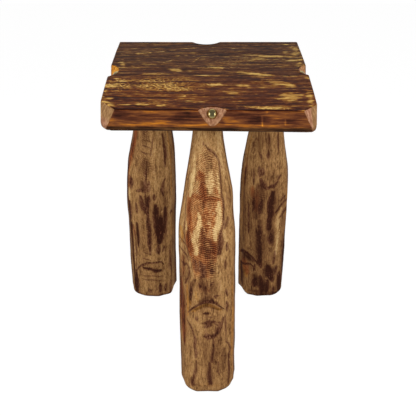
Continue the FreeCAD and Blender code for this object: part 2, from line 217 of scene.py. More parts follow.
# Rows down the side: round the arris, down the face, round the lower arris
bevel_drop = SLAB_DEPTH - LOWER_RISE
_, low_shares = slab_reach(rim_east, rim_north, bevel_drop + 0 * arris)
rounded = np.minimum(low_shares[CUT_LEFT] + low_shares[CUT_RIGHT], 1)
corner_inset = CORNER_INSETS[0] * low_shares[CUT_LEFT] + CORNER_INSETS[1] * low_shares[CUT_RIGHT]
side_rows = []
for part, rows in SIDE_ROWS:
    for share in np.linspace(0, 1, rows + 1)[1:]:
        round_out, round_down = math.cos(share * math.pi / 2), math.sin(share * math.pi / 2)
        if part == "arris":
            drop, inset = arris * (1 - round_out), arris * (1 - round_down)
        elif part == "face":
            drop, inset = arris + share * (bevel_drop - arris), 0 * arris
        else:
            # A planed bevel along the edges, a round at the corners
            drop = bevel_drop + LOWER_RISE * (share * (1 - rounded) + round_down * rounded)
            inset = LOWER_INSET * share * (1 - rounded) + corner_inset * (1 - round_out)
        reach, shares = slab_reach(rim_east, rim_north, drop)
        side_rows.append((reach - inset, TABLE_TOP - drop, shares))
base_reach, base_z, base_shares = side_rows[-1]
for share in np.linspace(1, 0, BASE_ROWS + 2)[1:-1]:
    side_rows.append((base_reach * share, base_z, base_shares))

side_x = [rim_east * reach for reach, _, _ in side_rows]
side_y = [MIDDLE_Y + rim_north * reach for reach, _, _ in side_rows]
slab_x = np.concatenate([top_x.ravel(), *side_x, [0.0]])
slab_y = np.concatenate([top_y.ravel(), *side_y, [MIDDLE_Y]])
side_z = [level for _, level, _ in side_rows]
slab_z = np.concatenate([top_z.ravel(), *side_z, [TABLE_TOP - SLAB_DEPTH]])

# The flat seat bored in each scoop for its brass dome, from the place of the dome
DOME_RADIUS = 10.0
DOME_RISE = 7.0
SEAT_PLAY = 0.05
SEAT_EDGE = (11.9, 10.3)
SEAT_DEPTH = 8
SCOOP_FACING = {"front": (0, -1, 0), "right": (1, 0, 0), "back": (0, 1, 0), "left": (-1, 0, 0)}
SEATS = {}
lean = math.radians(SCOOP_LEAN)
slab_points = np.stack([slab_x, slab_y, slab_z], axis=-1)
for side, out in SCOOP_FACING.items():
    out = np.array(out)
    axis = out * math.cos(lean) + (0, 0, math.sin(lean))
    low, high = np.array(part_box(f"boss_cap_{side}")) / MM
    innermost = np.where(out > 0, low, high)
    seat = np.where(out == 0, (low + high) / 2, innermost + out * DOME_RADIUS * math.sin(lean))
    seat[2] = low[2] + DOME_RADIUS * math.cos(lean)
    SEATS[side] = (seat, axis)
    offset = slab_points - seat
    proud = offset @ axis
    away = np.sqrt(np.maximum((offset ** 2).sum(axis=-1) - proud ** 2, 0))
    in_seat = (np.abs(proud) < SEAT_DEPTH) & (slab_points[:, 2] < TABLE_TOP - 3)
    sunk = np.maximum(proud + SEAT_PLAY, 0) * ease(away, *SEAT_EDGE) * in_seat
    slab_points -= sunk[:, None] * axis
slab_x, slab_y, slab_z = slab_points.T

# Share of each boundary at each point; the flat of the top has none
none = np.zeros((len(top_shares), 1))
flat_top = top_shares.reshape(len(top_shares), -1) * ease(ring_share.ravel(), 0.985, 1.0)
flat_shares = np.concatenate([flat_top] + [row[2] for row in side_rows] + [none], axis=1)

# The top is a square grid, the sides and the underside are rings round it
squares = (numbers[:-1, :-1], numbers[:-1, 1:], numbers[1:, 1:], numbers[1:, :-1])
side_numbers = GRID * GRID + np.arange(len(side_rows) * len(rim)).reshape(-1, len(rim))
rings = np.concatenate([rim[None], side_numbers])
faces = np.stack(squares, axis=-1).reshape(-1, 4).tolist()
faces += walls(rings) + fan(rings[-1], len(slab_x) - 1, below=True)

# Wear: x, y, half length, half width, tilt in degrees, strength.
# Gold shows wherever the stain is rubbed through, a little beyond each mark.
GOLD_STRENGTH = 1.15
GOLD_SPREAD = 1.25
GOLD_DABS = (
    (-150, 115, 12, 3.5, 16, 0.9), (-133, 120, 8, 3, 20, 0.7), (-100, 131, 27, 3, 18, 0.8),
    (-190, 105, 8, 6, 0, 0.5), (-67, 102, 6, 3, 0, 0.6), (-48, 102, 6, 3, 0, 0.6),
    (-10, 94, 24, 2, 0, 0.7), (-184, 41, 10, 9, 0, 0.7), (-184, 55, 6, 28, 0, 0.45),
    (-165, 31, 9, 4, 0, 0.6), (-66, 8, 12, 6, 0, 1.2), (-114, -16, 36, 5, 3, 0.95),
    (14, -27, 45, 2.2, -4, 0.85), (102, -18, 32, 7, -14, 1.05), (163, -28, 32, 3, -5, 0.75),
    (-189, -44, 8, 2.5, 0, 1.1), (-171, -57, 11, 5, 0, 0.9), (86, 169, 6, 4, 0, 0.6),
    (53, 147, 6, 4, 0, 0.6), (175, 179, 8, 5, 0, 0.7), (141, 97, 58, 6, -4, 1),
    (107, 103, 24, 2, 0, 0.7), (130, 86, 70, 2.5, -2, 0.6), (110, 76, 75, 2.5, 0, 0.7),
    (170, 125, 5, 12, 0, 0.5), (180, 64, 14, 6, 0, 0.6), (190, 50, 8, 6, 0, 0.7),
    (192, 120, 9, 62, 0, 0.5), (198, -39, 6, 6, 0, 0.6), (153, -74, 27, 8, -28, 1.1),
    (68, -83, 13, 6, 0, 0.85), (10, -79, 16, 7, 0, 0.6), (130, -53, 28, 1.8, 0, 0.8),
    (-190, -151, 11, 8, 10, 0.9), (-188, -182, 6, 3, 0, 1.3), (-159, -183, 12, 2.5, 0, 1.1),
    (-124, -184, 12, 3, 0, 1.3), (-86, -185, 8, 4, 0, 0.9), (-47, -138, 3, 3, 0, 1),
    (-34, -169, 20, 4, 0, 0.55), (158, -142, 17, 21, -35, 1.05), (147, -134, 9, 9, 0, 1),
    (163, -156, 9, 8, 0, 1), (46, -121, 17, 5, -22, 0.9), (193, -145, 7, 48, 0, 0.75),
    (-196, -170, 8, 8, 0, 1), (-184, -186, 8, 3, 0, 1.2), (-158, -183, 14, 3, 0, 0.9),
    (-128, -182, 15, 3, 0, 0.9), (-203, -148, 5, 13, 0, 0.8), (-199, -118, 4, 12, 0, 0.6),
    (-196, -85, 8, 9, 0, 0.8), (110, -199, 55, 5, -6, 0.6), (75, -196, 5, 4, 0, 0.9),
    (28, 21, 46, 4, 0, 0.55),
)
WORMY_DABS = (
    (-178, -78, 28, 34, 0, 1), (-100, -72, 54, 34, 0, 1), (-60, -100, 40, 14, 0, 0.8),
    (10, -79, 20, 9, 0, 0.7), (28, 21, 48, 6, 0, 0.7), (100, -200, 55, 7, -6, 0.8),
    (-110, -170, 40, 14, 0, 0.4), (60, 60, 60, 20, 0, 0.3),
)
# Scratches across the grain and bright hair lines: half width, strength, points
SCRATCHES = (
    (1.6, 0.8, (-36, 51), (-27, 70), (-18, 88)), (1.6, 0.8, (-99, 50), (-87, 61), (-72, 77)),
    (1.6, 0.8, (-97, -93), (-70, -98), (-40, -96), (-15, -103), (11, -105)),
    (1.6, 0.8, (-182, -207), (-130, -208), (-85, -209)), (1.6, 0.8, (-33, 94), (-5, 93), (12, 95)),
)
# Dark open grain, most of it along the front arris
GROOVES = (
    (4, 2, (-184, -203), (-150, -204), (-110, -205), (-82, -206)),
    (3.4, 1.6, (-90, -206), (-50, -207), (-26, -205)),
    (3.4, 1.5, (40, -207), (70, -209), (120, -210), (170, -211)),
    (3.5, 0.8, (-205, -140), (-150, -146), (-60, -150)),
    (2, 0.8, (-205, -100), (-120, -112), (-60, -118)),
)


def dabs(across, along, marks):
    """How much soft oval dabs cover each point, from 0 to about 1: each fades as
    the exponential of its oval distance, and overlapping ones add up."""
    total = np.zeros_like(across)
    for mark_x, mark_y, half_long, half_wide, tilt, strength in marks:
        cosine, sine = math.cos(math.radians(tilt)), math.sin(math.radians(tilt))
        ahead = (across - mark_x) * cosine + (along - mark_y) * sine
        aside = (along - mark_y) * cosine - (across - mark_x) * sine
        oval = (ahead / half_long) ** 2 + (aside / half_wide) ** 2
        total = np.maximum(total, strength * np.exp(-oval ** 1.2)) + 0.25 * strength * np.exp(-oval)
    return total


def stroke_distance(across, along, points, half_width):
    """How far each point lies from a line through the given points, as a multiple of
    half_width, which narrows to half at both ends: the least distance to a stretch."""
    line = np.array(points, float)
    runs = np.diff(line, axis=0)
    lengths = np.hypot(runs[:, 0], runs[:, 1])
    begun = np.concatenate([[0], np.cumsum(lengths)])
    nearest, where = np.full(np.shape(across), 1e9), np.zeros(np.shape(across))
    for (x, y), (run_x, run_y), length, start in zip(line, runs, lengths, begun):
        share = np.clip(((across - x) * run_x + (along - y) * run_y) / length ** 2, 0, 1)
        distance = np.hypot(across - x - share * run_x, along - y - share * run_y)
        where = np.where(distance < nearest, (start + share * length) / begun[-1], where)
        nearest = np.minimum(distance, nearest)
    return nearest / (half_width * (0.5 + 0.5 * np.sin(math.pi * where)))


def strokes(across, along, lines):
    """Soft strokes, each its half width, strength and points: the exponential of
    minus the squared distance. The strongest at each point counts."""
    total = np.zeros(np.shape(across))
    for half_width, strength, *points in lines:
        distance = stroke_distance(across, along, points, half_width)
        total = np.maximum(total, strength * np.exp(-distance ** 2))
    return total


# The marks wander a little, so that none is a clean oval
bent_x = slab_x + 22 * (hills(slab_x / 24 + 30, slab_y / 7 + 30, seed=31, octaves=4) - 0.5)
bent_y = slab_y + 9 * (hills(slab_x / 26 + 60, slab_y / 8 + 60, seed=32, octaves=4) - 0.5)
is_top = ease(slab_z, TABLE_TOP - 3.2, TABLE_TOP - 1.2)
depth_share = (TABLE_TOP - slab_z) / SLAB_DEPTH
gold_dabs = [(x, y, half_long, GOLD_SPREAD * half_wide, tilt, strength)
             for x, y, half_long, half_wide, tilt, strength in GOLD_DABS]
worn = GOLD_STRENGTH * dabs(bent_x, bent_y, gold_dabs)
worn = np.maximum(worn, strokes(slab_x, slab_y, SCRATCHES)) * is_top
wormy = np.minimum(dabs(slab_x, slab_y, WORMY_DABS), 1) * is_top
groove = strokes(slab_x, slab_y, GROOVES) * is_top

# The cuts left the wood raw, but for the arrises and the front scoop's lower tip
in_cut = flat_shares[CUT_LEFT:].sum(axis=0)
bare = np.minimum(in_cut, 1) * ease(depth_share, 0, 0.04) * (1 - ease(depth_share, 0.93, 1.0))
bare *= 1 - flat_shares[SCOOP_FRONT] * ease(slab_z, 630, 624)

# Raw wood is tan, but pink-brown in the front scoop and beside the front face on
# both corner cuts, and amber in the side scoops, most of all the left one
left_pink = ease(-(slab_x + 186) + 0.55 * (slab_z - 628), -6, 4) * ease(-slab_z, -642, -628)
right_pink = 1 - ease(slab_x + 0.12 * (slab_z - 640), 190, 195)
rosy = 0.75 * flat_shares[SCOOP_FRONT] + 0.6 * flat_shares[SCOOP_RIGHT]
rosy += 0.9 * flat_shares[CUT_LEFT] * left_pink + flat_shares[CUT_RIGHT] * right_pink
pooled = 0.15 * flat_shares[SCOOP_RIGHT] + flat_shares[SCOOP_LEFT]

# Growth rings show on the sawn ends: how far each point lies from the pith
PITH_Y = 24
PITH_DEPTH = 150
end_grain = flat_shares[SIDE] * (1 - is_top)
ring_radius = np.hypot(slab_y - PITH_Y, slab_z - (TABLE_TOP - PITH_DEPTH))
ring_radius += 5 * hills(slab_y / 40 + 20, slab_z / 20, seed=36)

# The front face: dark patches and the gold band low down, as x and height
DARK_PATCHES = (
    (-48, 644, 26, 10, 0, 0.9), (62, 650, 30, 6, 0, 1), (-114, 646, 18, 7, 0, 0.5),
    (88, 641, 30, 8, 0, 0.9), (156, 640, 22, 5, -8, 0.9), (-171, 648, 14, 9, 0, 0.45),
    (24, 637, 9, 3, -20, 1.1), (-150, 641, 30, 4, 0, 0.4), (178, 648, 16, 5, 0, 0.4),
)
BAND_DABS = (
    (-120, 631, 62, 5, 0, 0.85), (-30, 631, 50, 6, 0, 1), (50, 632, 60, 7, 0, 1.05),
    (140, 629, 56, 4.5, 0, 0.95), (58, 641, 22, 3, 0, 0.8), (36, 645, 10, 5, -12, 0.8),
    (-66, 661, 26, 3, 0, 0.7), (-86, 650, 20, 4, 0, 0.35), (-20, 652, 16, 6, 0, 0.4),
    (120, 650, 24, 4, -6, 0.45), (66, 656, 18, 1.8, 0, 0.55), (56, 637, 12, 2.5, 4, 0.6),
)
# Three short pale marks upright on the face, like tally marks
TALLY_MARKS = (
    (1.8, 1, (99, 649), (100, 629)), (1.8, 0.8, (142, 642), (143, 631)),
    (2, 0.8, (107, 655), (109, 660)),
)
GOLD_BAND_Z = 631
facing_front = ease(flat_shares[FRONT], 0.5, 0.9)
elsewhere = 1 - facing_front
along_side = slab_x + slab_y
flank = (1 - is_top) * (1 - bare)
bevel_z = TABLE_TOP - bevel_drop
bevel = ease(slab_z, bevel_z + 1.5, bevel_z - 1.5)
bent_z = slab_z + 5 * (hills(slab_x / 26 + 80, slab_z / 6 + 80, seed=33, octaves=4) - 0.5)
other_band = np.exp(-((slab_z - GOLD_BAND_Z) / 6) ** 2)
other_band *= hills(along_side / 60 + 90, slab_z / 20, seed=34)
other_patches = ease(hills(along_side / 34 + 90, slab_z / 16, seed=35), 0.5, 0.8)
band = facing_front * dabs(bent_x, bent_z, BAND_DABS) + elsewhere * other_band
patches = facing_front * dabs(bent_x, bent_z, DARK_PATCHES) + elsewhere * other_patches

slab = put_mesh("slab", slab_points, faces, {
    "worn": worn,
    "wormy": wormy,
    "bare": bare,
    "groove": groove,
    "band": band * flank * (1 - bevel),
    "patches": patches * flank,
    "tally": facing_front * strokes(slab_x, slab_z, TALLY_MARKS),
    # The bevel underneath gets painted shade here, less where a cut leaves raw wood
    "under": bevel * (1 - 0.75 * bare),
    "rosy": rosy,
    "pooled": pooled,
    "end_grain": end_grain,
    "ring_radius": ring_radius,
    "flank": 1 - is_top,
    "toward_front": ease(-slab_y, -150, 190),
})


class Wire:
    """An output in a material's node tree. Arithmetic on it adds Math nodes, and
    add() puts in any other node."""

    def __init__(self, tree, socket=None):
        self.tree = tree
        self.socket = socket

    def add(self, kind, settings=None, values=None, out=0):
        """Adds a node, sets it up, gives its inputs numbers or wires, and returns
        one of its outputs."""
        node = self.tree.nodes.new(kind)
        for setting, choice in (settings or {}).items():
            if setting == "stops":
                set_stops(node.color_ramp, choice)
            else:
                setattr(node, setting, choice)
        for place, value in (values or {}).items():
            if isinstance(value, Wire):
                self.tree.links.new(value.socket, node.inputs[place])
            else:
                node.inputs[place].default_value = value
        return Wire(self.tree, node.outputs[out]) if node.outputs else None

    def maths(self, operation, *numbers):
        """A Math node's result for one or two numbers or wires."""
        return self.add("ShaderNodeMath", {"operation": operation}, dict(enumerate(numbers)))

    def __add__(self, other):
        return self.maths("ADD", self, other)

    def __radd__(self, other):
        return self.maths("ADD", other, self)

    def __sub__(self, other):
        return self.maths("SUBTRACT", self, other)

    def __rsub__(self, other):
        return self.maths("SUBTRACT", other, self)

    def __mul__(self, other):
        return self.maths("MULTIPLY", self, other)

    def __rmul__(self, other):
        return self.maths("MULTIPLY", other, self)


def set_stops(colour_ramp, stops):
    """Gives a colour ramp its stops, each a place from 0 to 1 and a colour."""
    while len(colour_ramp.elements) < len(stops):
        colour_ramp.elements.new(1)
    for element, (place, shade) in zip(colour_ramp.elements, stops):
        element.position = place
        element.color = shade


def colour(red, green, blue):
    """A colour as the eye reads it, 0 to 255, in the linear light that nodes use."""
    linear = [((part / 255 + 0.055) / 1.055) ** 2.4 for part in (red, green, blue)]
    return (*linear, 1.0)


def new_material(name):
    """A node material with nothing in it, and the wire that its nodes hang from."""
    material = bpy.data.materials.new(name)
    material.use_nodes = True
    material.node_tree.nodes.clear()
    return material, Wire(material.node_tree)


def field(start, name):
    """A number that the mesh keeps for each of its points."""
    return start.add("ShaderNodeAttribute", {"attribute_name": name}, out="Fac")


def stretched(start, scale_x, scale_y, scale_z):
    """Places on the object in metres, times a scale for each direction."""
    place = start.add("ShaderNodeTexCoord", out="Object")
    scale = (scale_x, scale_y, scale_z)
    return start.add("ShaderNodeVectorMath", {"operation": "MULTIPLY"}, {0: place, 1: scale})


def grain(start, scale_x, scale_y, scale_z, detail=3.0, roughness=0.55):
    """Cloudy noise about 0, from -0.5 to 0.5, drawn out by the three scales, which
    are in cells per metre."""
    vector = stretched(start, scale_x, scale_y, scale_z)
    values = {"Vector": vector, "Scale": 1.0, "Detail": detail, "Roughness": roughness}
    return start.add("ShaderNodeTexNoise", {}, values) - 0.5


def ramp(value, low, high):
    """0 below low, 1 above high and a smooth S between, as a wire."""
    values = {"Value": value, "From Min": low, "From Max": high}
    return value.add("ShaderNodeMapRange", {"interpolation_type": "SMOOTHSTEP"}, values)


def mixed(share, first, second):
    """first where share is 0 and second where it is 1, as colours."""
    settings = {"data_type": "RGBA"}
    return share.add("ShaderNodeMix", settings, {0: share, 6: first, 7: second}, out=2)


def tinted(value, *stops):
    """The colour that value has on a run of stops, each its place from 0 to 1 and a
    colour's red, green and blue from 0 to 255."""
    run = [(place, colour(*shade)) for place, *shade in stops]
    return value.add("ShaderNodeValToRGB", {"stops": run}, {0: value})


def sine(value):
    """The sine of a wire, from -1 to 1."""
    return value.maths("SINE", value)


def finish(start, material, paint, roughness, height, bump, metallic=0.0, specular=0.02):
    """The surface itself: colour, roughness and a grain raised by up to bump metres."""
    raised = start.add("ShaderNodeBump", {}, {"Height": height, "Distance": bump, "Strength": 1.0})
    values = {
        "Base Color": paint,
        "Roughness": roughness,
        "Normal": raised,
        "Metallic": metallic,
        "Specular IOR Level": specular,
    }
    surface = start.add("ShaderNodeBsdfPrincipled", {}, values)
    start.add("ShaderNodeOutputMaterial", {}, {"Surface": surface})
    return material


def stained_slab():
    """Dark stain over hickory. One tone, from streaks along the plank and from the
    wear, picks a place on a run of colours from the darkest stain to pale gold."""
    material, start = new_material("rubbed_stain")
    broad = grain(start, 7, 70, 90)
    bands = grain(start, 13, 150, 150, detail=5, roughness=0.68)
    streaks = grain(start, 19, 310, 310, detail=5, roughness=0.62)
    fine = grain(start, 90, 1000, 1000, detail=2)
    cloud = grain(start, 18, 40, 40)
    crumble = grain(start, 70, 170, 200, detail=3, roughness=0.6)

    # The top: gold where it is rubbed, worm tracks, pale hair lines and threads
    cell_edges = start.add(
        "ShaderNodeTexVoronoi",
        {"feature": "DISTANCE_TO_EDGE"},
        {"Vector": stretched(start, 95, 150, 150), "Scale": 1.0},
    )
    worms = (1 - ramp(cell_edges, 0.03, 0.2)) * field(start, "wormy") * ramp(bands + broad, -0.28, 0.0)
    hairs = ramp(grain(start, 36, 230, 230, detail=5, roughness=0.7), 0.06, 0.22)
    threads = ramp(grain(start, 9, 240, 240, detail=3), 0.06, 0.16)
    threads = threads - ramp(grain(start, 11, 200, 200, detail=3), 0.07, 0.17)
    worn = field(start, "worn")
    groove = field(start, "groove")
    rubbed = ramp(worn + bands * 2.0 + crumble * 1.5 + streaks, 0.15, 1.25)
    tone = 0.25 + rubbed * 0.5 + bands * 1.4 + broad * 0.7 + crumble * 0.8 + streaks * 0.8
    tone = tone + worms * 0.6 + hairs * 0.24 + threads * 0.13 - groove * 0.4
    olive = tinted(tone, (0.04, 36, 17, 8), (0.28, 76, 42, 22), (0.48, 112, 73, 37),
                   (0.72, 164, 126, 60), (0.95, 211, 174, 100))
    russet = tinted(tone, (0.04, 42, 14, 5), (0.28, 86, 40, 16), (0.48, 122, 69, 27),
                    (0.72, 171, 123, 51), (0.95, 212, 171, 94))
    top = mixed(ramp(field(start, "toward_front") + cloud * 0.5, 0.1, 0.9), olive, russet)

    # The sides: a gold band low down, dark patches, and rings on the sawn ends
    rings = sine(field(start, "ring_radius") * 1.1) * field(start, "end_grain")
    side_tone = 0.38 + field(start, "band") * (0.12 + broad * 0.7) - field(start, "patches") * 0.19
    side_tone = side_tone + streaks * 1.3 + cloud * 0.6 + fine * 0.3
    side_tone = side_tone + field(start, "tally") * 0.32 + rings * 0.08
    side = tinted(side_tone, (0.05, 42, 22, 16), (0.28, 80, 43, 28), (0.48, 115, 68, 36),
                  (0.68, 172, 104, 30), (0.92, 218, 150, 56))

    # The cuts' raw wood, and the bevel underneath, painted nearly black as shade where it turns down
    across = grain(start, 240, 240, 70, detail=4)
    raw_tone = 0.5 + across * 1.5 + fine * 0.5
    tan = tinted(raw_tone, (0.1, 112, 72, 48), (0.45, 128, 94, 60), (0.85, 168, 132, 88))
    pink = tinted(raw_tone, (0.1, 96, 58, 44), (0.45, 146, 100, 74), (0.85, 186, 144, 116))
    amber = tinted(raw_tone, (0.1, 110, 62, 24), (0.45, 176, 112, 38), (0.85, 214, 160, 66))
    raw = mixed(field(start, "pooled"), mixed(field(start, "rosy"), tan, pink), amber)
    bevel = tinted(0.5 + streaks * 1.6 + cloud * 1.4, (0.2, 32, 18, 10), (0.5, 58, 34, 18),
                   (0.8, 104, 68, 37))

    flank = field(start, "flank")
    paint = mixed(flank, top, side)
    paint = mixed(ramp(field(start, "bare") + cloud * 0.3, 0.35, 0.6), paint, raw)
    paint = mixed(field(start, "under"), paint, bevel)
    height = streaks * 0.5 + fine * 0.3 + worms * 0.8 + worn * 0.2 - groove
    return finish(start, material, paint, 0.46 - flank * 0.1 + streaks * 0.2, height, 0.0006)


slab.data.materials.append(stained_slab())
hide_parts("top_slab")


# Legs
# Three hickory poles with the bark peeled off, hewn to many flats and tapered to
# a neck under the slab. Each ends in a round tenon, which goes up into a blind
# mortise. Dark bark stays in the hollows and in the axe chops.
SHOULDER = slab_low.z / MM
TENON_RADIUS = 23.0
TENON_TOP = SHOULDER + 33.5
# The tenon from its end down to the pole's shoulder, as radius and height
TENON = (
    (TENON_RADIUS / 2, TENON_TOP), (TENON_RADIUS - 1.2, TENON_TOP), (TENON_RADIUS, TENON_TOP - 0.8),
    (TENON_RADIUS, SHOULDER + 30), (TENON_RADIUS, SHOULDER + 20), (TENON_RADIUS, SHOULDER + 10),
    (TENON_RADIUS, SHOULDER + 1.5), (TENON_RADIUS + 1, SHOULDER),
)
COLUMNS = 240
POLE_ROWS = 330
FOOT_ROWS = 25
SOLE_ROWS = 5
FOOT_HEIGHT = 40
FLAT_SHARPNESS = 38  # the higher, the sharper the ridge between two flats
SWELL = 1.6
TOOL_MARKS = 0.8
BARK_DEPTH = 0.7
FOOT_BULGE = 4
FAR_MARKS = 54
RIPPLE_SPACING = 4.4

# Where each pole's axis meets the slab, as x and y, and its y on the floor
LEGS = {
    "front": {
        "shoulder": (-1.0, -144.0),
        "foot_y": -184.0,
        # Height, then how far the pole reaches to the left and right of x = 0
        "outline": (
            (615, -29, 27), (584, -32, 28.7), (559, -35.7, 33.1), (508, -43.5, 42.7),
            (455, -51.7, 52.1), (428, -55.6, 52.3), (401, -59.7, 54.1), (373, -61.5, 57.2),
            (303, -62.3, 58.4), (244, -62.3, 59.3), (120, -62.6, 60.4), (0, -61.5, 60.2),
        ),
        # The hewn section's corners: degrees round, and reach as a share of the radius
        "corners": ((10, 1.01), (44, 1.02), (78, 1.00), (112, 1.03), (148, 1.01), (186, 1.01),
                    (216, 1.01), (243, 1.04), (294, 1.03), (331, 1.02)),
        "seed": 100,
    },
    "back_left": {
        "shoulder": (-130.0, 137.5),
        "foot_y": 179.5,
        "outline": (
            (615, -158, -102), (584, -161, -99), (523, -169.5, -92), (452, -178.5, -83.5),
            (420, -186.5, -79.5), (387, -193.5, -78.2), (354, -198, -78), (310, -201.7, -77.9),
            (267, -202, -79), (195, -202, -82), (60, -203, -83), (0, -202.5, -83.5),
        ),
        "corners": ((2, 1.00), (36, 1.03), (70, 1.01), (106, 1.02), (140, 1.02), (176, 1.01),
                    (212, 1.02), (247, 1.00), (281, 1.03), (318, 1.02)),
        "seed": 200,
    },
    "back_right": {
        "shoulder": (135.0, 137.5),
        "foot_y": 179.5,
        "outline": (
            (615, 107, 163), (584, 105.2, 164.8), (523, 99.9, 170.4), (452, 92.2, 178.8),
            (420, 86.7, 183.7), (387, 82.3, 189.3), (354, 78.7, 194.7), (302, 76.2, 197.6),
            (231, 76.4, 197.4), (100, 77, 198), (0, 78, 196.5),
        ),
        "corners": ((14, 1.02), (50, 1.01), (84, 1.03), (122, 1.01), (155, 1.02), (190, 1.01),
                    (222, 1.03), (259, 1.01), (296, 1.02), (334, 1.02)),
        "seed": 300,
    },
}
